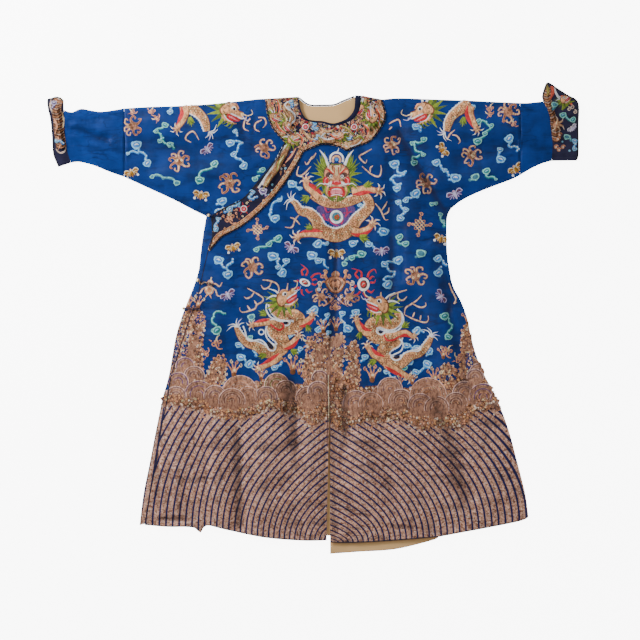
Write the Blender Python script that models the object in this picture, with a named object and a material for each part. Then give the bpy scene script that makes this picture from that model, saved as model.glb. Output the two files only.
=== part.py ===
"""Qing style dragon robe laid flat with its front up.

Metres, +Z up, +Y towards the neck, the wearer's left at +X.
The origin is on the underside of the back, on the centre back line.
Every front piece is a set of cells of one plan, lifted to its own level, so that
pieces that lie on each other keep an even gap.
"""

from math import exp, hypot

import bpy
from mathutils import Vector
from mathutils.geometry import delaunay_2d_cdt

MM = 0.001

# Cloth and levels, in millimetres.
WALL = 1.2
GAP = 0.3
HALF_GAP = 0.15
LINING_WALL = 1.0
BACK_TOP = WALL
LINING_LOW = BACK_TOP + GAP
UNDER_LOW = 3.6
UNDER_TOP = UNDER_LOW + WALL
OVER_LOW = UNDER_TOP + GAP
OVER_TOP = OVER_LOW + WALL
BAND_LOW = OVER_TOP + GAP
BAND_TOP = BAND_LOW + WALL
BINDING_TOP = BAND_TOP + 0.5
RIM = 3.0
LATTICE = 46.0
OUTLINE_STEP = 34.0
FINE_STEP = 17.0

# Loft of the front over the back, and how it dies away at a sewn edge.
LOFT = 3.0
EDGE_FADE = 45.0

# Fastenings, in millimetres.
BUTTON_RADIUS = 5.0
CORD_RADIUS = 1.3
CORD_SPREAD = 2.2
BALL_STANDS = 7.0
CORD_STANDS = BAND_TOP + CORD_RADIUS + 0.6

# Sleeve stations from the cuff to the forearm seam: top x, top y, bottom x, bottom y.
RIGHT_FOREARM = (
    (-830, 650, -808, 485),
    (-805, 643, -786, 488),
    (-777, 654, -752, 481),
    (-742, 648, -727, 473),
    (-708, 645, -686, 456),
    (-642, 655, -642, 441),
)
LEFT_FOREARM = (
    (667, 677, 694, 491),
    (640, 674, 660, 481),
    (618, 672, 625, 464),
    (595, 672, 595, 446),
)

# Sleeve root stations from the forearm seam to the armpit, the same columns.
RIGHT_ROOT = (
    (-642, 655, -642, 441),
    (-560, 660, -564, 405),
    (-486, 662, -486, 369),
    (-367, 669, -425, 337),
    (-217, 685, -385, 318),
)
LEFT_ROOT = (
    (595, 672, 595, 446),
    (505, 676, 564, 431),
    (422, 680, 477, 398),
    (327, 683, 416, 369),
    (223, 687, 380, 342),
)

# Cuff seam lines, top to bottom: x, y.
RIGHT_CUFF_SEAM = ((-830, 650), (-826, 567), (-822, 531), (-808, 485))
LEFT_CUFF_SEAM = ((667, 677), (685, 644), (692, 598), (697, 545), (694, 491))

# Free outlines of the cuffs, from the seam's top round to its bottom: x, y.
RIGHT_CUFF_EDGE = (
    (-831, 678),
    (-839, 688),
    (-855, 691),
    (-869, 687),
    (-881, 683),
    (-880, 656),
    (-872, 620),
    (-867, 567),
    (-863, 512),
    (-847, 472),
)
LEFT_CUFF_EDGE = (
    (664, 690),
    (670, 714),
    (682, 736),
    (712, 718),
    (744, 697),
    (777, 673),
    (778, 598),
    (778, 512),
    (771, 492),
)

# Body stations down the robe: y, right side seam x, overlap's free edge x, left side seam x.
BODY = (
    (262, -395, -378, 366),
    (200, -403, -385, 368),
    (150, -409, -395, 375),
    (100, -424, -406, 386),
    (50, -444, -418, 412),
    (0, -463, -438, 430),
    (-60, -480, -458, 443),
    (-120, -491, -477, 460),
    (-180, -502, -496, 485),
    (-260, -523, -510, 526),
    (-350, -542, -528, 560),
    (-450, -561, -543, 587),
    (-550, -581, -562, 612),
)
SIDE_FOOT_RIGHT = (-593, -647)
FREE_EDGE_FOOT = (-577, -647)
SIDE_FOOT_LEFT = (622, -622)

# Hem stations: x, front hem y, back hem y.
RIGHT_HEM = (
    (-505, -653, -645),
    (-450, -653, -645),
    (-420, -657, -648),
    (-403, -671, -650),
    (-384, -649, -643),
    (-323, -662, -655),
    (-205, -686, -678),
    (-86, -696, -688),
    (-9, -695, -688),
)
LEFT_HEM = (
    (2, -702, -737),
    (89, -702, -731),
    (209, -695, -722),
    (330, -685, -692),
    (352, -682, -678),
    (508, -653, -648),
    (598, -634, -629),
)
SLIT_TOP = -215
UNDERLAP_EDGE = -30

# Front neckline from the right shoulder round to the left: x, y, width of its binding.
NECK = (
    (-96, 692, 5),
    (-90, 653, 5),
    (-74, 624, 5),
    (-48, 617, 6),
    (-21, 615, 6),
    (11, 608, 7),
    (38, 615, 9),
    (59, 627, 12),
    (77, 653, 17),
    (80, 696, 19),
)
BACK_NECK = ((-96, 692), (-64, 669), (-24, 667), (14, 669), (40, 680), (80, 696))
BACK_NECK_BINDING = 5.0

# Outer edge of the collar, right shoulder down to where the overlap crosses it: x, y.
COLLAR_RIGHT_EDGE = ((-201, 685), (-195, 638), (-177, 591), (-141, 549))
# Left shoulder down and round the lobe to the top of the band's lower edge.
COLLAR_LEFT_EDGE = (
    (164, 683),
    (176, 629),
    (155, 584),
    (122, 549),
    (80, 534),
    (53, 522),
    (30, 534),
    (-15, 543),
    (-39, 537),
    (-80, 519),
)
COLLAR_BACK_EDGE = ((-201, 685), (-170, 620), (-100, 575), (-18, 560), (64, 575), (134, 620), (164, 683))
OVERLAP_NECK_CORNER = (-72, 616)

# The band along the overlap: upper x, upper y, lower x, lower y.
BAND = (
    (-141, 549, -80, 519),
    (-167, 500, -98, 484),
    (-197, 459, -124, 442),
    (-233, 416, -152, 403),
    (-270, 375, -186, 362),
    (-313, 353, -227, 322),
    (-353, 331, -270, 288),
    (-367, 316, -308, 267),
    (-368, 285, -337, 251),
    (-367, 256, -358, 228),
    (-380, 213, -375, 208),
)

# Fastenings down the wearer's right side: button x, y, and where its loop ends on the overlap: x, y.
FASTENINGS = (
    ("armpit", -377, 322, -340, 318),
    ("waist", -411, 118, -361, 103),
    ("hip", -456, 30, -408, 28),
)

# Largest folds of the front: from x, y, to x, y, height (a trough is below zero), half width.
FOLDS = (
    (214, 572, 298, 431, -4.0, 24),
    (298, 431, 361, 322, -5.0, 22),
    (250, 590, 345, 440, 6.0, 30),
    (150, 520, 235, 400, 3.5, 34),
    (195, 478, 190, 60, -3.5, 24),
    (240, 430, 250, 120, 5.5, 34),
    (140, 380, 135, 60, 3.0, 36),
    (352, 270, 250, 300, -3.5, 16),
    (352, 240, 290, 210, 3.5, 20),
    (336, 166, 439, -256, -4.5, 26),
    (300, 110, 390, -300, 6.0, 34),
    (400, 20, 470, -200, 4.0, 24),
    (20, 228, 16, -75, -3.5, 14),
    (-40, 200, -45, -60, 3.0, 30),
    (60, 180, 66, -90, 4.0, 30),
    (-200, 230, -215, -40, 3.5, 40),
    (-330, 160, -360, -60, 4.0, 34),
    (-370, 150, -300, 120, -2.5, 14),
    (-125, -200, -112, -400, -4.5, 26),
    (-190, -190, -180, -480, 5.0, 36),
    (-60, -220, -50, -480, 4.0, 30),
    (-290, -360, -284, -640, -5.0, 26),
    (-350, -330, -352, -620, 5.0, 34),
    (-225, -400, -222, -650, 4.0, 34),
    (-440, -200, -490, -560, 3.0, 34),
    (48, -240, 48, -400, -4.0, 18),
    (95, -230, 110, -560, 5.0, 38),
    (220, -260, 262, -600, 4.5, 46),
    (340, -250, 420, -560, -3.5, 36),
    (430, -260, 520, -540, 4.5, 42),
    (-480, -470, -470, -560, 4.0, 14),
    (-520, -628, -455, -628, -4.0, 10),
    (-700, 600, -640, 540, 3.0, 30),
    (-760, 560, -700, 560, -3.0, 16),
    (-560, 620, -420, 580, 4.0, 34),
    (-590, 540, -380, 520, -3.0, 26),
    (-520, 450, -300, 470, 4.0, 34),
    (-300, 640, -250, 520, -2.5, 22),
    (560, 600, 420, 600, 4.0, 34),
    (590, 540, 400, 500, -3.5, 26),
    (520, 470, 400, 440, 4.0, 28),
)


def clear_scene():
    for item in list(bpy.data.objects):
        bpy.data.objects.remove(item, do_unlink=True)


def smooth(points, step):
    """Points at about this step on a smooth curve through the given ones, ends kept."""
    found = []
    last = len(points) - 1
    for i in range(last):
        p0 = points[max(i - 1, 0)]
        p1 = points[i]
        p2 = points[i + 1]
        p3 = points[min(i + 2, last)]
        count = max(1, round(hypot(p2[0] - p1[0], p2[1] - p1[1]) / step))
        for k in range(count):
            t = k / count
            place = []
            for a, b, c, d in zip(p0[:2], p1[:2], p2[:2], p3[:2]):
                place.append(
                    b
                    + 0.5 * t * (c - a)
                    + t * t * (a - 2.5 * b + 2 * c - 0.5 * d)
                    + t * t * t * (1.5 * (b - c) + 0.5 * (d - a))
                )
            found.append(tuple(place))
    found.append(tuple(points[last][:2]))
    return found


def offset(points, distances):
    """The line moved to its left by each point's distance."""
    found = []
    last = len(points) - 1
    for i, (x, y) in enumerate(points):
        ax, ay = points[max(i - 1, 0)]
        bx, by = points[min(i + 1, last)]
        size = hypot(bx - ax, by - ay)
        found.append((x - (by - ay) / size * distances[i], y + (bx - ax) / size * distances[i]))
    return found


def inside(x, y, loop):
    """Whether the point is inside the closed loop."""
    hit = False
    px, py = loop[-1]
    for qx, qy in loop:
        if (qy > y) != (py > y) and x < (px - qx) * (y - qy) / (py - qy) + qx:
            hit = not hit
        px, py = qx, qy
    return hit


def reach(x, y, line):
    """Distance from the point to the open line."""
    best = 1e9
    for (ax, ay), (bx, by) in zip(line, line[1:]):
        dx = bx - ax
        dy = by - ay
        share = ((x - ax) * dx + (y - ay) * dy) / (dx * dx + dy * dy)
        share = min(1.0, max(0.0, share))
        best = min(best, hypot(x - ax - share * dx, y - ay - share * dy))
    return best


def column(rows, *names):
    return [tuple(row[n] for n in names) for row in rows]


def moved(points, dx):
    return [(x + dx, y) for x, y in points]


# Sewn edges, each a line shared by front and back.
right_fold = smooth(column(RIGHT_ROOT, 0, 1), OUTLINE_STEP)
right_under = smooth(column(RIGHT_ROOT, 2, 3), OUTLINE_STEP)
right_side = smooth([RIGHT_ROOT[-1][2:]] + [(row[1], row[0]) for row in BODY] + [SIDE_FOOT_RIGHT], OUTLINE_STEP)
left_fold = smooth(column(LEFT_ROOT, 0, 1) + [COLLAR_LEFT_EDGE[0]], OUTLINE_STEP)
right_fold = right_fold[:-1] + [COLLAR_RIGHT_EDGE[0]]
left_under = smooth(column(LEFT_ROOT, 2, 3), OUTLINE_STEP)
left_side = smooth([LEFT_ROOT[-1][2:], (368, 316)] + [(row[3], row[0]) for row in BODY] + [SIDE_FOOT_LEFT], OUTLINE_STEP)
right_arm_top = smooth(column(RIGHT_FOREARM, 0, 1), OUTLINE_STEP)
right_arm_low = smooth(column(RIGHT_FOREARM, 2, 3), OUTLINE_STEP)
left_arm_top = smooth(column(LEFT_FOREARM, 0, 1), OUTLINE_STEP)
left_arm_low = smooth(column(LEFT_FOREARM, 2, 3), OUTLINE_STEP)

# Open edges.
neck_edge = smooth(NECK, FINE_STEP)
neck_widths = []
for x, y in neck_edge:
    near = sorted(NECK, key=lambda row: hypot(row[0] - x, row[1] - y))[:2]
    far = [hypot(row[0] - x, row[1] - y) + 1e-6 for row in near]
    neck_widths.append((near[0][2] * far[1] + near[1][2] * far[0]) / (far[0] + far[1]))
binding_edge = offset(neck_edge, [-width for width in neck_widths])
seat_edge = offset(neck_edge, [-width - GAP for width in neck_widths])
back_neck = smooth(BACK_NECK, FINE_STEP)
back_neck_seam = offset(back_neck, [-BACK_NECK_BINDING] * len(back_neck))
back_neck_seat = offset(back_neck, [-BACK_NECK_BINDING - GAP] * len(back_neck))
collar_right_edge = smooth(COLLAR_RIGHT_EDGE, FINE_STEP)
collar_left_edge = smooth(COLLAR_LEFT_EDGE, FINE_STEP)
collar_back_edge = smooth(COLLAR_BACK_EDGE, FINE_STEP)
collar_back_hole = offset(collar_back_edge, [-GAP] * len(collar_back_edge))
band_upper = smooth(column(BAND, 0, 1), FINE_STEP * 1.3)
band_lower = smooth(column(BAND, 2, 3), FINE_STEP * 1.3)
free_edge = smooth([BAND[-1][:2]] + [(row[2], row[0]) for row in BODY[2:]] + [FREE_EDGE_FOOT], OUTLINE_STEP)
right_hem = smooth([FREE_EDGE_FOOT] + column(RIGHT_HEM, 0, 1), OUTLINE_STEP)
left_hem = smooth(column(LEFT_HEM, 0, 1) + [SIDE_FOOT_LEFT], OUTLINE_STEP)
right_back_hem = smooth([(-585, -640)] + column(RIGHT_HEM, 0, 2), OUTLINE_STEP * 2)
left_back_hem = smooth(column(LEFT_HEM, 0, 2) + [(614, -618)], OUTLINE_STEP)


def height_at(line, x):
    """Where the open line crosses this x."""
    for (ax, ay), (bx, by) in zip(line, line[1:]):
        if ax != bx and (ax - x) * (bx - x) <= 0:
            return ay + (by - ay) * (x - ax) / (bx - ax)
    return line[-1][1]


def upto(line, test):
    return [point for point in line if test(point)]


right_seat = upto(seat_edge, lambda p: p[0] < -74 or p[1] > 640 and p[0] < 0)
left_seat = upto(seat_edge, lambda p: p[0] > HALF_GAP)
cross_seat = upto(seat_edge, lambda p: OVERLAP_NECK_CORNER[0] < p[0] < -HALF_GAP and p[1] < 640)

seam_right_top = RIGHT_ROOT[0][:2]
seam_right_low = RIGHT_ROOT[0][2:]
seam_left_top = LEFT_ROOT[0][:2]
seam_left_low = LEFT_ROOT[0][2:]

# Outlines in plan.
body_right_front = (
    moved(right_fold[:1], HALF_GAP)
    + right_fold[1:]
    + right_seat
    + [(OVERLAP_NECK_CORNER[0] + 4, OVERLAP_NECK_CORNER[1] - 12), (UNDERLAP_EDGE, 560), (UNDERLAP_EDGE, -680)]
    + [(-205, -672), (-384, -640), (-470, -640), (-560, -640), SIDE_FOOT_RIGHT]
    + right_side[::-1][1:]
    + right_under[::-1][1:-1]
    + moved(right_under[:1], HALF_GAP)
)
body_right_back = (
    moved(right_fold[:1], HALF_GAP)
    + right_fold[1:-1]
    + [collar_back_hole[0]]
    + upto(collar_back_hole[1:], lambda p: p[0] < -HALF_GAP)
    + [(-HALF_GAP, height_at(collar_back_hole, -HALF_GAP)), (-HALF_GAP, SLIT_TOP)]
    + right_back_hem[::-1]
    + right_side[::-1]
    + right_under[::-1][1:-1]
    + moved(right_under[:1], HALF_GAP)
)
body_left_front = (
    moved(left_fold[:1], -HALF_GAP)
    + left_fold[1:]
    + left_seat[::-1]
    + [(HALF_GAP, height_at(seat_edge, HALF_GAP)), (HALF_GAP, SLIT_TOP)]
    + left_hem
    + left_side[::-1][1:]
    + left_under[::-1][1:-1]
    + moved(left_under[:1], -HALF_GAP)
)
body_left_back = (
    moved(left_fold[:1], -HALF_GAP)
    + left_fold[1:-1]
    + [collar_back_hole[-1]]
    + upto(collar_back_hole[::-1][1:], lambda p: p[0] > HALF_GAP)
    + [(HALF_GAP, height_at(collar_back_hole, HALF_GAP)), (HALF_GAP, SLIT_TOP)]
    + left_back_hem
    + left_side[::-1]
    + left_under[::-1][1:-1]
    + moved(left_under[:1], -HALF_GAP)
)
overlap = (
    [OVERLAP_NECK_CORNER]
    + cross_seat
    + [(-HALF_GAP, height_at(seat_edge, -HALF_GAP)), (-HALF_GAP, SLIT_TOP)]
    + right_hem[::-1]
    + free_edge[::-1][1:-1]
    + band_upper[::-1]
)
collar_right = (
    [collar_right_edge[0]]
    + right_seat
    + [(OVERLAP_NECK_CORNER[0] - 1.5, OVERLAP_NECK_CORNER[1] + 1.0)]
    + moved(collar_right_edge[::-1][:1], -1.5)
    + collar_right_edge[::-1][1:-1]
)
collar_left = (
    [OVERLAP_NECK_CORNER]
    + upto(seat_edge, lambda p: p[0] > OVERLAP_NECK_CORNER[0] and (p[1] < 640 or p[0] > 0))
    + collar_left_edge
    + [BAND[0][:2]]
)
overlap_band = (
    [(BAND[0][0] - 0.2, BAND[0][1] - GAP)]
    + band_upper[1:]
    + band_lower[::-1][:-1]
    + [(BAND[0][2] - 0.2, BAND[0][3] - GAP)]
)
collar_back = collar_back_edge + back_neck_seat[::-1]
neck_binding_front = neck_edge + binding_edge[::-1]
neck_binding_back = back_neck[1:-1] + back_neck_seam[1:-1][::-1]
lining = (
    back_neck_seat
    + [(300, 660), (300, 420), (340, 330)]
    + [(x - 14, y) for x, y in left_side[2:-1]]
    + [(606, -612)]
    + [(x, y + 2.0) for x, y in left_back_hem[::-1][1:]]
    + [(2, -600), (-2, -600)]
    + [(x, y + 6.0) for x, y in right_back_hem[::-1]]
    + [(x + 14, y) for x, y in right_side[::-1][1:-1]]
    + [(-320, 420), (-300, 660)]
)
sleeve_right = (
    smooth(RIGHT_CUFF_SEAM, OUTLINE_STEP)[::-1]
    + right_arm_top[1:-1]
    + moved([seam_right_top, seam_right_low], -HALF_GAP)
    + right_arm_low[::-1][1:-1]
)
sleeve_left = (
    smooth(LEFT_CUFF_SEAM, OUTLINE_STEP)[::-1]
    + left_arm_top[1:-1]
    + moved([seam_left_top, seam_left_low], HALF_GAP)
    + left_arm_low[::-1][1:-1]
)
right_cuff_edge = smooth(RIGHT_CUFF_EDGE, FINE_STEP)
left_cuff_edge = smooth(LEFT_CUFF_EDGE, FINE_STEP)
cuff_right = right_cuff_edge + moved(smooth(RIGHT_CUFF_SEAM, OUTLINE_STEP)[::-1], -GAP)
cuff_left = left_cuff_edge + moved(smooth(LEFT_CUFF_SEAM, OUTLINE_STEP)[::-1], GAP)
slit_facing = [(-28, SLIT_TOP), (-2, SLIT_TOP), (6, SLIT_TOP - 60), (6, -680), (-28, -680)]

sewn_edges = {
    "body_right": [right_fold, right_under, right_side],
    "body_left": [left_fold, left_under, left_side],
    "sleeve_right": [right_arm_top, right_arm_low],
    "sleeve_left": [left_arm_top, left_arm_low],
    "cuff_right": [right_cuff_edge[:5], right_cuff_edge[-3:]],
    "cuff_left": [upto(left_cuff_edge, lambda p: p[1] > 676), left_cuff_edge[-3:]],
}
edge_lines = [line for name in sewn_edges for line in sewn_edges[name]]


def loft(x, y):
    """Height of the front's folds over its level, in millimetres."""
    height = LOFT
    for x0, y0, x1, y1, rise, half in FOLDS:
        if min(x0, x1) - 3 * half < x < max(x0, x1) + 3 * half:
            away = reach(x, y, [(x0, y0), (x1, y1)]) / half
            if away < 3:
                height += rise * exp(-away * away)
    near = min(reach(x, y, line) for line in edge_lines)
    fade = min(1.0, near / EDGE_FADE)
    return max(0.0, height) * fade * fade * (3 - 2 * fade)


def under_loft(x, y):
    """Folds of the right front: it lies flat where the overlap hides it."""
    if not inside(x, y, overlap):
        return loft(x, y)
    near = min(reach(x, y, band_upper), reach(x, y, free_edge))
    return loft(x, y) * max(0.0, 1 - near / 90.0)


# Each node: its levels from the bottom up, what lifts them, and the outlines of its two walls.
NODES = (
    ("body_right", (0, BACK_TOP, UNDER_LOW, UNDER_TOP), under_loft, body_right_back, body_right_front),
    ("body_left", (0, BACK_TOP, OVER_LOW, OVER_TOP), loft, body_left_back, body_left_front),
    ("sleeve_right", (0, BACK_TOP, UNDER_LOW, UNDER_TOP), loft, sleeve_right, sleeve_right),
    ("sleeve_left", (0, BACK_TOP, OVER_LOW, OVER_TOP), loft, sleeve_left, sleeve_left),
    ("cuff_right", (0, BACK_TOP, UNDER_LOW, UNDER_TOP), loft, cuff_right, cuff_right),
    ("cuff_left", (0, BACK_TOP, OVER_LOW, OVER_TOP), loft, cuff_left, cuff_left),
    ("collar_back", (0, BACK_TOP, BACK_TOP, BACK_TOP), None, collar_back, None),
    ("neck_binding_back", (0, LINING_LOW + LINING_WALL, 9, 9), None, neck_binding_back, None),
    ("lining_back", (LINING_LOW, LINING_LOW + LINING_WALL, 9, 9), None, lining, None),
    ("slit_facing", (0, 0, UNDER_LOW, UNDER_TOP - GAP), None, None, slit_facing),
    ("front_overlap", (0, 0, OVER_LOW, OVER_TOP), loft, None, overlap),
    ("collar_right", (0, 0, OVER_LOW, OVER_TOP), loft, None, collar_right),
    ("collar_left", (0, 0, BAND_LOW, BAND_TOP), loft, None, collar_left),
    ("overlap_band", (0, 0, BAND_LOW, BAND_TOP), loft, None, overlap_band),
    ("neck_binding_front", (0, 0, UNDER_LOW, BINDING_TOP), loft, None, neck_binding_front),
)


def rim_lines(name):
    """Lines inside the sewn edges, where a folded or seamed piece is solid from back to front."""
    found = []
    for line in sewn_edges.get(name, []):
        for side in (RIM, -RIM):
            found.append(offset(line, [side] * len(line)))
    return found


def plan():
    """The cells shared by all pieces: points, and triangles of their numbers."""
    points = []
    ties = []

    def add(line, closed):
        first = len(points)
        points.extend(line)
        count = len(line)
        for i in range(count if closed else count - 1):
            ties.append((first + i, first + (i + 1) % count))

    for name, _, _, low, high in NODES:
        if low:
            add(low, True)
        if high and high is not low:
            add(high, True)
        for line in rim_lines(name):
            kept = [p for p in line if inside(p[0], p[1], high)]
            if len(kept) > 1:
                add(kept, False)
    marks = [p for p in points]
    outline = [high or low for _, _, _, low, high in NODES]
    row = 0
    y = -730.0
    while y < 740:
        x = -880.0 + (LATTICE / 2 if row % 2 else 0)
        while x < 790:
            if min(hypot(x - p[0], y - p[1]) for p in marks) > LATTICE * 0.42:
                if any(inside(x, y, loop) for loop in outline):
                    points.append((x, y))
            x += LATTICE
        y += LATTICE * 0.866
        row += 1
    made = delaunay_2d_cdt([Vector((x / 1000, y / 1000)) for x, y in points], ties, [], 0, 1e-6)
    places = [(v.x * 1000, v.y * 1000) for v in made[0]]
    return places, [tuple(face) for face in made[2]]


def spans(name, low, high, x, y):
    """Which of the three slabs between the node's four levels are filled here."""
    in_low = low is not None and inside(x, y, low)
    in_high = high is not None and inside(x, y, high)
    if in_low and in_high:
        lines = sewn_edges.get(name, [])
        if any(reach(x, y, line) < RIM for line in lines):
            return (True, True, True)
    return (in_low, False, in_high)


def build_node(name, levels, lift, low, high, places, cells, lofts):
    used = {}
    for cell in cells:
        x = sum(places[i][0] for i in cell) / 3
        y = sum(places[i][1] for i in cell) / 3
        filled = spans(name, low, high, x, y)
        if any(filled):
            used[cell] = filled
    numbers = {}
    corners = []

    def corner(point, level):
        key = (point, level)
        if key not in numbers:
            x, y = places[point]
            z = levels[level]
            if lift is not None and level > 1:
                z += lofts[lift][point]
            numbers[key] = len(corners)
            corners.append((x * MM, y * MM, z * MM))
        return numbers[key]

    beside = {}
    for cell in used:
        for a, b in zip(cell, cell[1:] + cell[:1]):
            beside[(a, b)] = cell
    faces = []
    for cell, filled in used.items():
        for slab in range(3):
            if not filled[slab]:
                continue
            if slab == 0 or not filled[slab - 1]:
                faces.append([corner(i, slab) for i in cell[::-1]])
            if slab == 2 or not filled[slab + 1]:
                faces.append([corner(i, slab + 1) for i in cell])
            for a, b in zip(cell, cell[1:] + cell[:1]):
                other = beside.get((b, a))
                if other is not None and used[other][slab]:
                    continue
                faces.append([corner(a, slab), corner(b, slab), corner(b, slab + 1)])
                faces.append([corner(a, slab), corner(b, slab + 1), corner(a, slab + 1)])
    mesh = bpy.data.meshes.new(name)
    mesh.from_pydata(corners, [], faces)
    mesh.update()
    return mesh


def material(name, color, metallic, roughness):
    made = bpy.data.materials.new(name)
    made.use_nodes = True
    shader = made.node_tree.nodes["Principled BSDF"]
    shader.inputs["Base Color"].default_value = (*color, 1)
    shader.inputs["Metallic"].default_value = metallic
    shader.inputs["Roughness"].default_value = roughness
    return made


def place_button(collection, name, x, y, look):
    """A ball button beside the overlap's free edge."""
    height = BALL_STANDS + under_loft(x, y) + BUTTON_RADIUS
    bpy.ops.mesh.primitive_uv_sphere_add(
        segments=16,
        ring_count=10,
        radius=BUTTON_RADIUS * MM,
        location=(x * MM, y * MM, height * MM),
    )
    ball = bpy.context.object
    ball.name = name
    ball.data.materials.append(look)
    for owner in list(ball.users_collection):
        owner.objects.unlink(ball)
    collection.objects.link(ball)


def place_loop(collection, name, start, end, look):
    """A doubled cord laid across the overlap, its bight at the free edge."""
    curve = bpy.data.curves.new(name, "CURVE")
    curve.dimensions = "3D"
    curve.bevel_depth = CORD_RADIUS * MM
    curve.bevel_resolution = 1
    curve.use_fill_caps = True
    line = curve.splines.new("POLY")
    dx = end[0] - start[0]
    dy = end[1] - start[1]
    size = hypot(dx, dy)
    rows = ((1.0, 1), (0.7, 1), (0.4, 1), (0.1, 1), (0.0, 0.5), (0.0, -0.5), (0.1, -1), (0.4, -1), (0.7, -1), (1.0, -1))
    line.points.add(len(rows) - 1)
    top = max(loft(start[0] + dx * share, start[1] + dy * share) for share in (0, 0.25, 0.5, 0.75, 1))
    for point, (along, across) in zip(line.points, rows):
        x = start[0] + dx * along - dy / size * CORD_SPREAD * across
        y = start[1] + dy * along + dx / size * CORD_SPREAD * across
        z = CORD_STANDS + top
        point.co = (x * MM, y * MM, z * MM, 1)
    cord = bpy.data.objects.new(name, curve)
    cord.data.materials.append(look)
    collection.objects.link(cord)


clear_scene()
robe = bpy.data.collections.new("dragon_robe")
bpy.context.scene.collection.children.link(robe)

places, cells = plan()
lofts = {
    loft: [loft(x, y) for x, y in places],
    under_loft: [under_loft(x, y) for x, y in places],
}
looks = {
    "body": material("blue_silk", (0.012, 0.055, 0.26), 0.0, 0.45),
    "dark": material("navy_silk", (0.012, 0.012, 0.03), 0.0, 0.5),
    "lining": material("cream_lining", (0.56, 0.44, 0.28), 0.0, 0.6),
    "gilt": material("gilt_brass", (0.7, 0.55, 0.3), 1.0, 0.3),
}
kinds = {
    "collar": "dark",
    "neck": "dark",
    "overlap": "dark",
    "cuff": "dark",
    "lining": "lining",
    "slit": "lining",
}
for name, levels, lift, low, high in NODES:
    mesh = build_node(name, levels, lift, low, high, places, cells, lofts)
    piece = bpy.data.objects.new(name, mesh)
    mesh.materials.append(looks[kinds.get(name.split("_")[0], "body")])
    robe.objects.link(piece)
for name, x, y, end_x, end_y in FASTENINGS:
    place_button(robe, "button_" + name, x, y, looks["gilt"])
    size = hypot(end_x - x, end_y - y)
    clear = (BUTTON_RADIUS + CORD_RADIUS + 1.5) / size
    start = (x + (end_x - x) * clear, y + (end_y - y) * clear)
    place_loop(robe, "loop_" + name, start, (end_x, end_y), looks["dark"])
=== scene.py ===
"""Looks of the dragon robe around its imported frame.

The wearer's left is at +X and the neck at +Y. Lengths in the tables are millimetres.
"""

import math
import random

import bpy
import numpy as np
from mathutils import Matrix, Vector
from mathutils.geometry import delaunay_2d_cdt


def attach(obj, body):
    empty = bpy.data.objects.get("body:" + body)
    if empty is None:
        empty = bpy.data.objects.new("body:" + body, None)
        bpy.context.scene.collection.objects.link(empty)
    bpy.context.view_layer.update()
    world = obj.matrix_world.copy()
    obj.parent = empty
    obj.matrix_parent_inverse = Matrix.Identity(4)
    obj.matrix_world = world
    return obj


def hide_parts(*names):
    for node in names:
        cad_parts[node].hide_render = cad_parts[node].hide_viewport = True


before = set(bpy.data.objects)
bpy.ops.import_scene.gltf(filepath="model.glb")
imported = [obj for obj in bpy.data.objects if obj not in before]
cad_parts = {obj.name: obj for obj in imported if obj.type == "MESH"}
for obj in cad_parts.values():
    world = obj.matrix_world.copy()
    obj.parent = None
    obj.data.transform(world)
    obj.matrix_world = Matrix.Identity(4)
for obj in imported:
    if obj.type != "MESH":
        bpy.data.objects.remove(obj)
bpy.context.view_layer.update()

random.seed(7)
rng = np.random.default_rng(7)
MM = 0.001
# The drawing unit of the stripes and the embroidery, in mm: what one pixel of the photo covers on the robe.
UNIT = 3.125

# ---------------------------------------------------------------- cloth levels above the floor, and the folds
GAP = 0.3
HALF_GAP = 0.15
BACK_TOP = 1.2
LINING_LOW = 1.5
UNDER_LOW = 3.6
UNDER_TOP = 4.8
OVER_LOW = 5.1
OVER_TOP = 6.3
BAND_LOW = 6.6
BAND_TOP = 7.8
BINDING_TOP = 8.3
LOFT = 3.0
EDGE_FADE = 45.0

# Sleeve stations from the cuff to the forearm seam: top x, top y, bottom x, bottom y.
RIGHT_FOREARM = (
    (-830, 650, -808, 485),
    (-805, 643, -786, 488),
    (-777, 654, -752, 481),
    (-742, 648, -727, 473),
    (-708, 645, -686, 456),
    (-642, 655, -642, 441),
)
LEFT_FOREARM = ((667, 677, 694, 491), (640, 674, 660, 481), (618, 672, 625, 464), (595, 672, 595, 446))
RIGHT_ROOT = (
    (-642, 655, -642, 441),
    (-560, 660, -564, 405),
    (-486, 662, -486, 369),
    (-367, 669, -425, 337),
    (-217, 685, -385, 318),
)
LEFT_ROOT = (
    (595, 672, 595, 446),
    (505, 676, 564, 431),
    (422, 680, 477, 398),
    (327, 683, 416, 369),
    (223, 687, 380, 342),
)
RIGHT_CUFF_SEAM = ((-830, 650), (-826, 567), (-822, 531), (-808, 485))
LEFT_CUFF_SEAM = ((667, 677), (685, 644), (692, 598), (697, 545), (694, 491))
RIGHT_CUFF_EDGE = (
    (-831, 678), (-839, 688), (-855, 691), (-869, 687), (-881, 683),
    (-880, 656), (-872, 620), (-867, 567), (-863, 512), (-847, 472),
)
LEFT_CUFF_EDGE = (
    (664, 690), (670, 714), (682, 736), (712, 718), (744, 697),
    (777, 673), (778, 598), (778, 512), (771, 492),
)
# Body stations: y, right side seam x, overlap's free edge x, left side seam x.
BODY = (
    (262, -395, -378, 366),
    (200, -403, -385, 368),
    (150, -409, -395, 375),
    (100, -424, -406, 386),
    (50, -444, -418, 412),
    (0, -463, -438, 430),
    (-60, -480, -458, 443),
    (-120, -491, -477, 460),
    (-180, -502, -496, 485),
    (-260, -523, -510, 526),
    (-350, -542, -528, 560),
    (-450, -561, -543, 587),
    (-550, -581, -562, 612),
)
SIDE_FOOT_RIGHT = (-593, -647)
FREE_EDGE_FOOT = (-577, -647)
SIDE_FOOT_LEFT = (622, -622)
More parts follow.
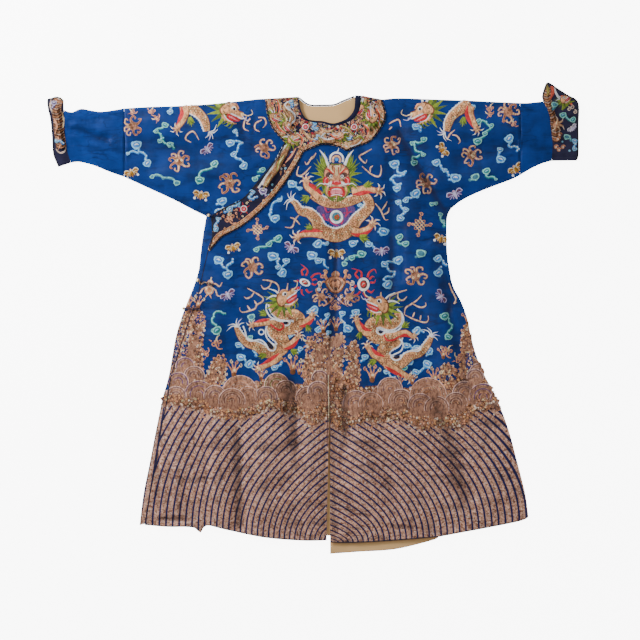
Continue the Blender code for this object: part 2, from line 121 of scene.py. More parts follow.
# Hem stations: x, front hem y, back hem y.
RIGHT_HEM = (
    (-505, -653, -645), (-450, -653, -645), (-420, -657, -648), (-403, -671, -650), (-384, -649, -643),
    (-323, -662, -655), (-205, -686, -678), (-86, -696, -688), (-9, -695, -688),
)
LEFT_HEM = (
    (2, -702, -737), (89, -702, -731), (209, -695, -722), (330, -685, -692),
    (352, -682, -678), (508, -653, -648), (598, -634, -629),
)
SLIT_TOP = -215
UNDERLAP_EDGE = -30
# Front neckline from the right shoulder to the left: x, y, width of its binding.
NECK = (
    (-96, 692, 5), (-90, 653, 5), (-74, 624, 5), (-48, 617, 6), (-21, 615, 6),
    (11, 608, 7), (38, 615, 9), (59, 627, 12), (77, 653, 17), (80, 696, 19),
)
BACK_NECK = ((-96, 692), (-64, 669), (-24, 667), (14, 669), (40, 680), (80, 696))
BACK_NECK_BINDING = 5.0
COLLAR_RIGHT_EDGE = ((-201, 685), (-195, 638), (-177, 591), (-141, 549))
COLLAR_LEFT_EDGE = (
    (164, 683), (176, 629), (155, 584), (122, 549), (80, 534),
    (53, 522), (30, 534), (-15, 543), (-39, 537), (-80, 519),
)
COLLAR_BACK_EDGE = ((-201, 685), (-170, 620), (-100, 575), (-18, 560), (64, 575), (134, 620), (164, 683))
OVERLAP_NECK_CORNER = (-72, 616)
# The band along the overlap: upper x, upper y, lower x, lower y.
BAND = (
    (-141, 549, -80, 519),
    (-167, 500, -98, 484),
    (-197, 459, -124, 442),
    (-233, 416, -152, 403),
    (-270, 375, -186, 362),
    (-313, 353, -227, 322),
    (-353, 331, -270, 288),
    (-367, 316, -308, 267),
    (-368, 285, -337, 251),
    (-367, 256, -358, 228),
    (-380, 213, -375, 208),
)

# Folds: from x, y, to x, y, height (a trough is below zero), half width.
FOLDS = (
    (214, 572, 298, 431, -4.0, 24),
    (298, 431, 361, 322, -5.0, 22),
    (250, 590, 345, 440, 6.0, 30),
    (150, 520, 235, 400, 3.5, 34),
    (195, 478, 190, 60, -3.5, 24),
    (240, 430, 250, 120, 5.5, 34),
    (140, 380, 135, 60, 3.0, 36),
    (352, 270, 250, 300, -3.5, 16),
    (352, 240, 290, 210, 3.5, 20),
    (336, 166, 439, -256, -4.5, 26),
    (300, 110, 390, -300, 6.0, 34),
    (400, 20, 470, -200, 4.0, 24),
    (20, 228, 16, -75, -3.5, 14),
    (-40, 200, -45, -60, 3.0, 30),
    (60, 180, 66, -90, 4.0, 30),
    (-200, 230, -215, -40, 3.5, 40),
    (-330, 160, -360, -60, 4.0, 34),
    (-370, 150, -300, 120, -2.5, 14),
    (-125, -200, -112, -400, -4.5, 26),
    (-190, -190, -180, -480, 5.0, 36),
    (-60, -220, -50, -480, 4.0, 30),
    (-290, -360, -284, -640, -5.0, 26),
    (-350, -330, -352, -620, 5.0, 34),
    (-225, -400, -222, -650, 4.0, 34),
    (-440, -200, -490, -560, 3.0, 34),
    (48, -240, 48, -400, -4.0, 18),
    (95, -230, 110, -560, 5.0, 38),
    (220, -260, 262, -600, 4.5, 46),
    (340, -250, 420, -560, -3.5, 36),
    (430, -260, 520, -540, 4.5, 42),
    (-480, -470, -470, -560, 4.0, 14),
    (-520, -628, -455, -628, -4.0, 10),
    (-700, 600, -640, 540, 3.0, 30),
    (-760, 560, -700, 560, -3.0, 16),
    (-560, 620, -420, 580, 4.0, 34),
    (-590, 540, -380, 520, -3.0, 26),
    (-520, 450, -300, 470, 4.0, 34),
    (-300, 640, -250, 520, -2.5, 22),
    (560, 600, 420, 600, 4.0, 34),
    (590, 540, 400, 500, -3.5, 26),
    (520, 470, 400, 440, 4.0, 28),
)
# Narrow creases that the frame leaves out, the same columns.
CREASES = (
    (20, 215, 19, 20, -2.2, 6),
    (19, 20, -3, -110, -2.0, 6),
    (-3, -110, -6, -200, -1.6, 5),
    (30, 230, 34, 40, 1.2, 7),
    (-370, 118, -290, 95, -1.6, 6),
    (-372, 100, -310, 60, 1.2, 8),
    (-400, 30, -330, 10, -1.4, 7),
    (360, 300, 300, 350, -1.8, 6),
    (362, 280, 290, 292, 1.6, 7),
    (362, 262, 300, 240, -1.8, 6),
    (364, 245, 320, 205, 1.4, 7),
    (366, 225, 345, 170, -1.5, 6),
    (372, 330, 330, 400, 1.5, 8),
    (214, 585, 300, 430, -1.8, 8),
    (-800, 600, -700, 588, 1.4, 8),
    (-800, 590, -690, 560, -1.6, 7),
    (-795, 570, -700, 530, 1.4, 8),
    (-790, 550, -720, 500, -1.4, 7),
    (-812, 620, -720, 622, -1.2, 7),
    (-480, -470, -470, -548, 2.5, 8),
    (-500, -470, -496, -560, -2.2, 7),
    (-520, -440, -520, -600, 2.4, 8),
    (-540, -470, -535, -600, -2.0, 7),
    (-530, -628, -462, -629, -2.8, 4),
    (-530, -615, -462, -616, 2.6, 6),
    (-470, -550, -445, -628, -2.4, 5),
    (-460, -545, -438, -625, 2.4, 6),
    (-118, -205, -110, -330, -2.6, 9),
    (-95, -250, -90, -420, 1.6, 10),
    (-290, -400, -284, -560, -2.0, 8),
    (-262, -360, -258, -560, 2.0, 10),
    (52, -215, 44, -330, -2.2, 7),
    (64, -330, 84, -440, -1.6, 7),
    (-60, -480, -40, -600, 1.6, 12),
    (12, -250, 12, -690, -1.8, 8),
    (-18, -240, -20, -690, -2.0, 8),
    (-14, -330, -30, -520, 1.4, 12),
    (450, -560, 560, -540, -1.2, 6),
    (430, -600, 600, -575, -1.4, 6),
    (400, -590, 540, -560, 1.0, 8),
    (120, -640, 260, -640, 1.0, 8),
    (100, -652, 270, -655, -1.2, 6),
    (470, -60, 480, -180, -1.6, 8),
    (-300, 655, -262, 560, -1.2, 7),
    (-230, 650, -215, 600, 1.0, 8),
    (560, 560, 480, 545, -1.2, 7),
    (580, 520, 470, 480, 1.2, 8),
    (230, 350, 228, 120, -1.4, 8),
    (150, 300, 152, 120, 1.2, 10),
)

# Sharp shadow lines in the deepest folds, the same columns.
SHADES_OF_FOLDS = (
    (-118, -205, -108, -470, -4.5, 13),
    (-128, -190, -150, -330, -3.0, 16),
    (-60, -215, -70, -300, -3.5, 8),
    (46, -215, 48, -360, -5.0, 10),
    (-14, -330, -10, -690, -3.0, 9),
    (14, -330, 16, -690, -2.5, 8),
    (-290, -380, -286, -650, -3.0, 10),
    (-385, -330, -395, -640, -2.0, 9),
    (192, 250, 196, 90, -3.5, 9),
    (-6, 230, -3, 40, -4.0, 6),
    (20, 215, -3, -150, -3.5, 5),
    (214, 585, 300, 430, -3.0, 9),
    (300, 430, 366, 330, -2.5, 8),
    (-480, -520, -470, -610, -5.0, 10),
    (-530, -628, -462, -629, -6.0, 4),
    (-545, -430, -520, -560, -3.5, 9),
    (-505, -450, -500, -520, 3.5, 8),
    (-455, -545, -440, -628, -4.0, 6),
    (-560, -560, -556, -640, -3.5, 7),
    (-400, 230, -440, 60, -3.5, 8),
    (-460, 30, -470, -60, -3.5, 8),
    (330, -260, 420, -560, -2.0, 22),
    (150, -300, 190, -600, -1.8, 22),
    (300, -120, 380, 40, -2.0, 14),
    (-230, -60, -180, -180, -2.0, 16),
    (430, 60, 470, -150, -2.5, 10),
    (-640, 640, -560, 500, -1.4, 20),
    (-560, 600, -420, 570, -1.4, 10),
    (-500, 480, -360, 440, -1.6, 12),
    (-700, 560, -640, 500, -1.8, 12),
    (-790, 600, -720, 560, -2.6, 9),
    (560, 640, 480, 600, -1.4, 12),
    (570, 480, 470, 470, -1.6, 10),
    (660, 640, 600, 560, -1.4, 12),
)


def smooth(points, step):
    """Points at about this step on a smooth curve through the given ones, ends kept."""
    found = []
    last = len(points) - 1
    for i in range(last):
        p0, p1, p2, p3 = (points[j] for j in (max(i - 1, 0), i, i + 1, min(i + 2, last)))
        count = max(1, round(math.hypot(p2[0] - p1[0], p2[1] - p1[1]) / step))
        for k in range(count):
            t = k / count
            place = []
            for a, b, c, d in zip(p0[:2], p1[:2], p2[:2], p3[:2]):
                place.append(
                    b
                    + 0.5 * t * (c - a)
                    + t * t * (a - 2.5 * b + 2 * c - 0.5 * d)
                    + t * t * t * (1.5 * (b - c) + 0.5 * (d - a))
                )
            found.append(tuple(place))
    found.append(tuple(points[last][:2]))
    return found


def offset(points, distances):
    found = []
    last = len(points) - 1
    for i, (x, y) in enumerate(points):
        ax, ay = points[max(i - 1, 0)]
        bx, by = points[min(i + 1, last)]
        size = math.hypot(bx - ax, by - ay)
        found.append((x - (by - ay) / size * distances[i], y + (bx - ax) / size * distances[i]))
    return found


def inside(x, y, loop):
    """Which of the points are inside the closed loop."""
    hit = np.zeros(np.shape(x), bool)
    px, py = loop[-1]
    for qx, qy in loop:
        if qy != py:
            hit ^= ((qy > y) != (py > y)) & (x < (px - qx) * (y - qy) / (py - qy) + qx)
        px, py = qx, qy
    return hit


def reach(x, y, line, cap=60.0):
    """Distance from each point to the open line, at most cap."""
    best = np.full(np.shape(x), cap * cap)
    for (ax, ay), (bx, by) in zip(line, line[1:]):
        dx, dy = bx - ax, by - ay
        size = dx * dx + dy * dy
        if size == 0:
            continue
        share = np.clip(((x - ax) * dx + (y - ay) * dy) / size, 0, 1)
        best = np.minimum(best, (x - ax - share * dx) ** 2 + (y - ay - share * dy) ** 2)
    return np.sqrt(best)


def column(rows, *names):
    return [tuple(row[n] for n in names) for row in rows]


def moved(points, dx):
    return [(x + dx, y) for x, y in points]


def upto(line, test):
    return [point for point in line if test(point)]


def height_at(line, x):
    for (ax, ay), (bx, by) in zip(line, line[1:]):
        if ax != bx and (ax - x) * (bx - x) <= 0:
            return ay + (by - ay) * (x - ax) / (bx - ax)
    return line[-1][1]


STEP = 9.0
right_fold = smooth(column(RIGHT_ROOT, 0, 1), STEP)
right_fold = right_fold[:-1] + [COLLAR_RIGHT_EDGE[0]]
right_under = smooth(column(RIGHT_ROOT, 2, 3), STEP)
right_side = smooth([RIGHT_ROOT[-1][2:]] + [(row[1], row[0]) for row in BODY] + [SIDE_FOOT_RIGHT], STEP)
left_fold = smooth(column(LEFT_ROOT, 0, 1) + [COLLAR_LEFT_EDGE[0]], STEP)
left_under = smooth(column(LEFT_ROOT, 2, 3), STEP)
left_side = smooth(
    [LEFT_ROOT[-1][2:], (368, 316)] + [(row[3], row[0]) for row in BODY] + [SIDE_FOOT_LEFT], STEP
)
right_arm_top = smooth(column(RIGHT_FOREARM, 0, 1), STEP)
right_arm_low = smooth(column(RIGHT_FOREARM, 2, 3), STEP)
left_arm_top = smooth(column(LEFT_FOREARM, 0, 1), STEP)
left_arm_low = smooth(column(LEFT_FOREARM, 2, 3), STEP)
neck_edge = smooth(NECK, 6)
neck_widths = []
for x, y in neck_edge:
    near = sorted(NECK, key=lambda row: math.hypot(row[0] - x, row[1] - y))[:2]
    far = [math.hypot(row[0] - x, row[1] - y) + 1e-6 for row in near]
    neck_widths.append((near[0][2] * far[1] + near[1][2] * far[0]) / (far[0] + far[1]))
binding_edge = offset(neck_edge, [-width for width in neck_widths])
seat_edge = offset(neck_edge, [-width - GAP for width in neck_widths])
back_neck = smooth(BACK_NECK, 6)
back_neck_seam = offset(back_neck, [-BACK_NECK_BINDING] * len(back_neck))
back_neck_seat = offset(back_neck, [-BACK_NECK_BINDING - GAP] * len(back_neck))
collar_right_edge = smooth(COLLAR_RIGHT_EDGE, 6)
collar_left_edge = smooth(COLLAR_LEFT_EDGE, 6)
collar_back_edge = smooth(COLLAR_BACK_EDGE, 10)
collar_back_hole = offset(collar_back_edge, [-GAP] * len(collar_back_edge))
band_upper = smooth(column(BAND, 0, 1), 6)
band_lower = smooth(column(BAND, 2, 3), 6)
free_edge = smooth([BAND[-1][:2]] + [(row[2], row[0]) for row in BODY[2:]] + [FREE_EDGE_FOOT], STEP)
right_hem = smooth([FREE_EDGE_FOOT] + column(RIGHT_HEM, 0, 1), STEP)
left_hem = smooth(column(LEFT_HEM, 0, 1) + [SIDE_FOOT_LEFT], STEP)
right_back_hem = smooth([(-585, -640)] + column(RIGHT_HEM, 0, 2), 20)
left_back_hem = smooth(column(LEFT_HEM, 0, 2) + [(614, -618)], STEP)
right_seat = upto(seat_edge, lambda p: p[0] < -74 or p[1] > 640 and p[0] < 0)
left_seat = upto(seat_edge, lambda p: p[0] > HALF_GAP)
cross_seat = upto(seat_edge, lambda p: OVERLAP_NECK_CORNER[0] < p[0] < -HALF_GAP and p[1] < 640)
seam_right = [RIGHT_ROOT[0][:2], RIGHT_ROOT[0][2:]]
seam_left = [LEFT_ROOT[0][:2], LEFT_ROOT[0][2:]]


def slit_line(side):
    """The front edge at the centre, from the neck to the hem: it opens below the slit's top."""
    foot = right_hem[-1] if side < 0 else left_hem[0]
    top = height_at(seat_edge, side * HALF_GAP)
    line = [(side * HALF_GAP, top)]
    line += [(side * HALF_GAP, y) for y in np.arange(top - 9, SLIT_TOP, -9)]
    for t in np.linspace(0, 1, 50)[:-1]:
        line.append(
            (side * HALF_GAP + (foot[0] - side * HALF_GAP) * t, SLIT_TOP + (foot[1] - SLIT_TOP) * t)
        )
    return line


body_right_front = (
    moved(right_fold[:1], HALF_GAP) + right_fold[1:] + right_seat
    + [
        (OVERLAP_NECK_CORNER[0] + 4, OVERLAP_NECK_CORNER[1] - 12), (UNDERLAP_EDGE, 560),
        (UNDERLAP_EDGE, -680)
    ]
    + [(-205, -672), (-384, -640), (-470, -640), (-560, -640), SIDE_FOOT_RIGHT]
    + right_side[::-1][1:] + right_under[::-1][1:-1] + moved(right_under[:1], HALF_GAP)
)
body_right_back = (
    moved(right_fold[:1], HALF_GAP) + right_fold[1:-1] + [collar_back_hole[0]]
    + upto(collar_back_hole[1:], lambda p: p[0] < -HALF_GAP)
    + [(-HALF_GAP, height_at(collar_back_hole, -HALF_GAP)), (-HALF_GAP, SLIT_TOP)] + right_back_hem[::-1]
    + right_side[::-1] + right_under[::-1][1:-1] + moved(right_under[:1], HALF_GAP)
)
body_left_front = (
    moved(left_fold[:1], -HALF_GAP) + left_fold[1:] + left_seat[::-1] + slit_line(1) + left_hem
    + left_side[::-1][1:] + left_under[::-1][1:-1] + moved(left_under[:1], -HALF_GAP)
)
body_left_back = (
    moved(left_fold[:1], -HALF_GAP) + left_fold[1:-1] + [collar_back_hole[-1]]
    + upto(collar_back_hole[::-1][1:], lambda p: p[0] > HALF_GAP)
    + [(HALF_GAP, height_at(collar_back_hole, HALF_GAP)), (HALF_GAP, SLIT_TOP)] + left_back_hem
    + left_side[::-1] + left_under[::-1][1:-1] + moved(left_under[:1], -HALF_GAP)
)
overlap = (
    [OVERLAP_NECK_CORNER] + cross_seat + slit_line(-1)
    + right_hem[::-1] + free_edge[::-1][1:-1] + band_upper[::-1]
)
collar_right = (
    [collar_right_edge[0]] + right_seat + [(OVERLAP_NECK_CORNER[0] - 1.5, OVERLAP_NECK_CORNER[1] + 1.0)]
    + moved(collar_right_edge[::-1][:1], -1.5) + collar_right_edge[::-1][1:-1]
)
collar_left = (
    [OVERLAP_NECK_CORNER]
    + upto(seat_edge, lambda p: p[0] > OVERLAP_NECK_CORNER[0] and (p[1] < 640 or p[0] > 0))
    + collar_left_edge + [BAND[0][:2]]
)
overlap_band = (
    [(BAND[0][0] - 0.2, BAND[0][1] - GAP)] + band_upper[1:] + band_lower[::-1][:-1]
    + [(BAND[0][2] - 0.2, BAND[0][3] - GAP)]
)
collar_back = collar_back_edge + back_neck_seat[::-1]
neck_binding_front = neck_edge + binding_edge[::-1]
neck_binding_back = back_neck[1:-1] + back_neck_seam[1:-1][::-1]
lining = (
    back_neck_seat + [(300, 660), (300, 420), (340, 330)]
    + [(x - 14, y) for x, y in left_side[2:-1]] + [(606, -612)]
    + [(x, y + 2.0) for x, y in left_back_hem[::-1][1:]] + [(2, -600), (-2, -600)]
    + [(x, y + 6.0) for x, y in right_back_hem[::-1]]
    + [(x + 14, y) for x, y in right_side[::-1][1:-1]] + [(-320, 420), (-300, 660)]
)
right_cuff_seam = smooth(RIGHT_CUFF_SEAM, STEP)
left_cuff_seam = smooth(LEFT_CUFF_SEAM, STEP)
sleeve_right = right_cuff_seam[::-1] + right_arm_top[1:-1] + moved(
    seam_right, -HALF_GAP
) + right_arm_low[::-1][1:-1]
sleeve_left = left_cuff_seam[::-1] + left_arm_top[1:-1] + moved(
    seam_left, HALF_GAP
) + left_arm_low[::-1][1:-1]
right_cuff_edge = smooth(RIGHT_CUFF_EDGE, 6)
left_cuff_edge = smooth(LEFT_CUFF_EDGE, 6)
cuff_right = right_cuff_edge + moved(right_cuff_seam[::-1], -GAP)
cuff_left = left_cuff_edge + moved(left_cuff_seam[::-1], GAP)
slit_facing = [(-28, SLIT_TOP), (-2, SLIT_TOP), (6, SLIT_TOP - 60), (6, -680), (-28, -680)]

sewn = {
    "body_right": [right_fold, right_under, right_side],
    "body_left": [left_fold, left_under, left_side],
    "sleeve_right": [right_arm_top, right_arm_low],
    "sleeve_left": [left_arm_top, left_arm_low],
    "cuff_right": [upto(right_cuff_edge, lambda p: p[1] > 676), right_cuff_edge[-4:]],
    "cuff_left": [upto(left_cuff_edge, lambda p: p[1] > 676), left_cuff_edge[-5:]],
}
sewn_lines = [line for name in sewn for line in sewn[name]]

# ---------------------------------------------------------------- height of the folds
GRID = 2.5
FIELD_LEFT = -900
FIELD_FOOT = -760
SEAM_REACH = 60
grid_x = np.arange(FIELD_LEFT, 805, GRID)
grid_y = np.arange(FIELD_FOOT, 765, GRID)
field_x, field_y = np.meshgrid(grid_x, grid_y)


def window(xs, ys, margin):
    """The part of the field within the margin of these places."""
    i0 = max(0, int((min(xs) - margin - FIELD_LEFT) / GRID))
    i1 = int((max(xs) + margin - FIELD_LEFT) / GRID) + 2
    j0 = max(0, int((min(ys) - margin - FIELD_FOOT) / GRID))
    j1 = int((max(ys) + margin - FIELD_FOOT) / GRID) + 2
    return slice(j0, j1), slice(i0, i1)


def fold_field():
    height = np.full(field_x.shape, LOFT)
    for x0, y0, x1, y1, rise, half in FOLDS + CREASES:
        part = window([x0, x1], [y0, y1], 3 * half)
        away = reach(field_x[part], field_y[part], [(x0, y0), (x1, y1)], 3 * half) / half
        height[part] += rise * np.exp(-away * away)
    for size, rise in ((110, 0.5), (42, 0.32), (17, 0.12)):
        angle = rng.uniform(0, 6.28, 9)
        for k in range(9):
            wave = 2 * math.pi / size * rng.uniform(0.7, 1.3)
            height += rise / 2 * np.sin(
                wave * (field_x * math.cos(angle[k]) + field_y * math.sin(angle[k])) + rng.uniform(0, 6.28)
            ) * 0.6
    near = np.full(field_x.shape, 60.0)
    for line in sewn_lines:
        xs = [p[0] for p in line]
        ys = [p[1] for p in line]
        part = window(xs, ys, SEAM_REACH)
        near[part] = np.minimum(near[part], reach(field_x[part], field_y[part], line))
    fade = np.clip(near / EDGE_FADE, 0, 1)
    return np.clip(height, 0, None) * fade * fade * (3 - 2 * fade), near


fold_height, seam_near = fold_field()


def shade_field():
    """How deep in a fold each place lies, as painted shade: above zero in a trough, where the colour is
    darkened, below zero on a crest, where a painted highlight lightens it.
    """
    deep = np.zeros(field_x.shape)
    for x0, y0, x1, y1, rise, half in FOLDS + CREASES + SHADES_OF_FOLDS:
        part = window([x0, x1], [y0, y1], 3 * half)
        away = reach(field_x[part], field_y[part], [(x0, y0), (x1, y1)], 3 * half) / half
        deep[part] -= rise / 6.0 * np.exp(-away * away * 1.6)
    return deep


def sample(field, x, y):
    fx = np.clip((np.asarray(x, float) - FIELD_LEFT) / GRID, 0, len(grid_x) - 1.001)
    fy = np.clip((np.asarray(y, float) - FIELD_FOOT) / GRID, 0, len(grid_y) - 1.001)
    i, j = fx.astype(int), fy.astype(int)
    u, v = fx - i, fy - j
    return (
        field[j, i] * (1 - u) * (1 - v) + field[j, i + 1] * u * (1 - v)
        + field[j + 1, i] * (1 - u) * v + field[j + 1, i + 1] * u * v
    )


def loft(x, y):
    return sample(fold_height, x, y)


fold_shade = shade_field()


def shade(x, y):
    return sample(fold_shade, x, y)


in_overlap = inside(field_x, field_y, overlap)
hidden_near = np.minimum(
    reach(field_x, field_y, band_upper[::6] + band_upper[-1:], 95.0),
    reach(field_x, field_y, free_edge[::6] + free_edge[-1:], 95.0)
)
under_height = np.where(in_overlap, fold_height * np.clip(1 - hidden_near / 90.0, 0, 1), fold_height)


def under_loft(x, y):
    return sample(under_height, x, y)


def edge_drop(x, y):
    """How far the cloth turns down at a folded or seamed edge."""
    near = sample(seam_near, x, y)
    return 2.4 * np.clip(1 - near / 5.0, 0, 1) ** 2


# ---------------------------------------------------------------- the stripes of the skirt
# The hem line that the stripes were drawn to, without the corner that is folded over.
stripe_hem = [p for p in RIGHT_HEM if p[0] != -403]
front_hem_x = np.array([-577] + [p[0] for p in stripe_hem] + [p[0] for p in left_hem])
front_hem_y = np.array([-650] + [p[1] for p in stripe_hem] + [p[1] for p in left_hem])


def stripe_phase(x, y, under=False):
    """Which stripe a place is on, counted outwards from the slit along the hem."""
    x = np.asarray(x, float)
    hem = np.interp(x, front_hem_x, front_hem_y)
    rise = np.maximum(0.0, (np.asarray(y, float) - hem) / UNIT)
    away = np.abs(x + 1.5) / UNIT
    left = x > 0
    far = np.maximum(away, 1.0)
    for _ in range(30):
        bend = np.where(left, 0.0035 + 41 / far**2, 0.0006 + 0.42 / far)
        slope = np.where(left, 1 + 82 * rise**2 / far**3, 1 + 0.42 * rise**2 / far**2)
        far = np.maximum(0.5, far - (far - bend * rise**2 - away) / slope)
    phase = np.log(1 + 0.012 * far / 4.7) / 0.012
    if under:
        phase = (far * 0 + (x + 577) / UNIT - rise * 0.16) / 5.5 + 300
    return phase

# ---------------------------------------------------------------- materials


def srgb(r, g, b):
    """Linear colour of an 8-bit display colour."""
    found = []
    for v in (r, g, b):
        v /= 255
        found.append(v / 12.92 if v <= 0.04045 else ((v + 0.055) / 1.055) ** 2.4)
    return (*found, 1.0)


class Nodes:
    """Short hands for a material's node tree."""

    def __init__(self, name, rough, metal=0.0, sheen=0.0):
        self.material = bpy.data.materials.new(name)
        self.material.use_nodes = True
        self.tree = self.material.node_tree
        self.shader = self.tree.nodes["Principled BSDF"]
        self.shader.inputs["Roughness"].default_value = rough
        self.shader.inputs["Metallic"].default_value = metal
        self.shader.inputs["Sheen Weight"].default_value = sheen
        self.shader.inputs["Specular IOR Level"].default_value = 0.14
        self.place = self.tree.nodes.new("ShaderNodeTexCoord").outputs["Object"]

    def link(self, source, socket):
        if isinstance(source, (int, float)):
            socket.default_value = source
        elif isinstance(source, tuple):
            socket.default_value = source
        else:
            self.tree.links.new(source, socket)

    def math(self, kind, a, b=0.0, c=0.0, clamp=False):
        node = self.tree.nodes.new("ShaderNodeMath")
        node.operation = kind
        node.use_clamp = clamp
        for value, socket in zip((a, b, c), node.inputs):
            self.link(value, socket)
        return node.outputs[0]

    def noise(self, scale, detail=2.0, rough=0.5, vector=None):
        node = self.tree.nodes.new("ShaderNodeTexNoise")
        node.inputs["Scale"].default_value = scale
        node.inputs["Detail"].default_value = detail
        node.inputs["Roughness"].default_value = rough
        self.link(vector or self.place, node.inputs["Vector"])
        return node.outputs["Fac"]

    def stretch(self, x, y, z=1.0, turn=0.0):
        node = self.tree.nodes.new("ShaderNodeMapping")
        node.inputs["Scale"].default_value = (x, y, z)
        node.inputs["Rotation"].default_value = (0, 0, turn)
        self.link(self.place, node.inputs["Vector"])
        return node.outputs[0]

    def wave(self, scale, vector=None, direction="X", distortion=0.0):
        node = self.tree.nodes.new("ShaderNodeTexWave")
        node.bands_direction = direction
        node.inputs["Scale"].default_value = scale
        node.inputs["Distortion"].default_value = distortion
        self.link(vector or self.place, node.inputs["Vector"])
        return node.outputs["Fac"]

    def mix(self, share, a, b):
        node = self.tree.nodes.new("ShaderNodeMix")
        node.data_type = "RGBA"
        self.link(share, node.inputs[0])
        self.link(a, node.inputs[6])
        self.link(b, node.inputs[7])
        return node.outputs[2]

    def spread(self, value, low, high, to_low=0.0, to_high=1.0):
        node = self.tree.nodes.new("ShaderNodeMapRange")
        node.clamp = True
        for v, socket in zip((value, low, high, to_low, to_high), node.inputs):
            self.link(v, socket)
        return node.outputs[0]

    def given(self, name):
        node = self.tree.nodes.new("ShaderNodeAttribute")
        node.attribute_name = name
        return node.outputs["Fac"]

    def chance(self, value):
        node = self.tree.nodes.new("ShaderNodeTexWhiteNoise")
        node.noise_dimensions = "1D"
        self.link(value, node.inputs["W"])
        return node.outputs["Value"]

    def bump(self, height, strength, distance):
        node = self.tree.nodes.new("ShaderNodeBump")
        node.inputs["Strength"].default_value = strength
        node.inputs["Distance"].default_value = distance
        self.link(height, node.inputs["Height"])
        self.link(node.outputs[0], self.shader.inputs["Normal"])

    def color(self, value):
        """Sets the colour, with painted shade in the folds and a little painted highlight on their crests."""
        painted_shading = self.given("painted_shading")
        # Painted shade: darker as the shading rises in a fold, much darker near 2; painted highlight where it
        # falls below zero on a crest.
        value = self.mix(self.spread(painted_shading, 0.0, 1.0, 0.0, 0.58), value, (0.006, 0.004, 0.008, 1))
        value = self.mix(self.spread(painted_shading, 1.8, 2.0, 0.0, 0.8), value, (0.006, 0.004, 0.008, 1))
        value = self.mix(self.spread(painted_shading, 0.0, -0.9, 0.0, 0.006), value, (1, 0.95, 0.92, 1))
        self.link(value, self.shader.inputs["Base Color"])


BLUE = srgb(8, 54, 128)
BLUE_DEEP = srgb(5, 42, 104)
CREAM = srgb(226, 182, 126)
COPPER = srgb(246, 186, 154)
COPPER_DARK = srgb(112, 70, 52)
LINE_NAVY = srgb(28, 28, 76)


def creased(n, value, deep, share=0.45):
    """Long fine wrinkles: their height, and the colour a little deeper in them as painted shade."""
    long = n.noise(9.0, 5.0, 0.62, n.stretch(0.8, 3.4, 1, 0.12))
    cross = n.noise(12.0, 4.0, 0.6, n.stretch(2.6, 0.9, 1, -0.5))
    height = n.math("ADD", n.math("MULTIPLY", long, 0.65), n.math("MULTIPLY", cross, 0.35))
    # Painted shade: the colour darkened in the troughs of the wrinkles.
    value = n.mix(n.math("MULTIPLY", n.spread(height, 0.5, 0.4), share), value, deep)
    for scale, wide, tall, turn in ((10.0, 0.7, 2.8, -0.35), (8.0, 0.8, 3.0, 0.5)):
        line = n.math(
            "ABSOLUTE", n.math("SUBTRACT", n.noise(scale, 2.5, 0.5, n.stretch(wide, tall, 1, turn)), 0.52)
        )
        # Painted shadow along thin wrinkle lines, also cut a little into the height.
        sharp = n.math("MULTIPLY", n.spread(line, 0.014, 0.0), n.spread(n.noise(6.0, 1.0), 0.46, 0.6))
        value = n.mix(n.math("MULTIPLY", sharp, 0.5), value, deep)
        height = n.math("SUBTRACT", height, n.math("MULTIPLY", sharp, 0.05))
    return value, height


def ground_silk(name, base, deep, sheen=0.04, rough=0.45, wrinkle=9.0):
    """Satin ground: slow changes of tone, long wrinkles with painted shade in them and a fine twill."""
    n = Nodes(name, rough, 0.0, sheen)
    # The wrinkles' painted shade is the deep tone at 0.35 of its brightness.
    value, height = creased(
        n, n.mix(n.spread(n.noise(14.0, 3.0), 0.35, 0.7), base, deep),
        tuple(v * 0.35 for v in deep[:3]) + (1.0,)
    )
    n.color(value)
    twill = n.wave(420.0, n.stretch(1, 1, 1, 0.6))
    fine = n.math("ADD", n.math("MULTIPLY", twill, 0.1), n.math("MULTIPLY", n.noise(900.0, 2.0), 0.15))
    n.bump(n.math("ADD", fine, n.math("MULTIPLY", height, wrinkle)), 0.6, 0.0009)
    return n.material


def couched_colour(n, phase, width_extra):
    """Colour and height of laid gold cords with painted glints and a dark cord between stripes."""
    turn = n.math("FRACT", phase)
    which = n.math("FLOOR", phase)
    tone = n.chance(which)
    fleck = n.noise(135.0, 3.0, 0.8)
    patch = n.noise(22.0, 2.0)
    gold = n.mix(n.spread(fleck, 0.4, 0.58), COPPER_DARK, COPPER)
    # Painted glints: small pale pink flecks on the gold.
    gold = n.mix(
        n.math("MULTIPLY", n.spread(n.noise(185.0, 2.0, 0.9), 0.55, 0.64), 0.9), gold, srgb(255, 226, 212)
    )
    gold = n.mix(n.math("MULTIPLY", tone, 0.2), gold, srgb(150, 108, 90))
    gold = n.mix(n.math("MULTIPLY", n.spread(patch, 0.45, 0.7), 0.18), gold, srgb(240, 196, 178))
    strand = n.math("ABSOLUTE", n.math("SUBTRACT", n.math("FRACT", n.math("MULTIPLY", turn, 4.0)), 0.5))
    gold = n.mix(n.math("MULTIPLY", n.spread(strand, 0.3, 0.5), 0.5), gold, srgb(96, 62, 50))
    edge = n.math("ABSOLUTE", n.math("SUBTRACT", turn, 0.5))
    half = n.math("SUBTRACT", 0.355, width_extra)
    dark = n.math("GREATER_THAN", edge, half)
    soft = n.spread(n.math("SUBTRACT", edge, half), -0.03, 0.03)
    colour = n.mix(soft, gold, LINE_NAVY)
    rise = n.math("MULTIPLY", n.math("SUBTRACT", 0.5, strand), 0.6)
    rise = n.math(
        "SUBTRACT", n.math("ADD", rise, n.math("MULTIPLY", fleck, 0.5)), n.math("MULTIPLY", soft, 1.0)
    )
    return colour, rise, dark


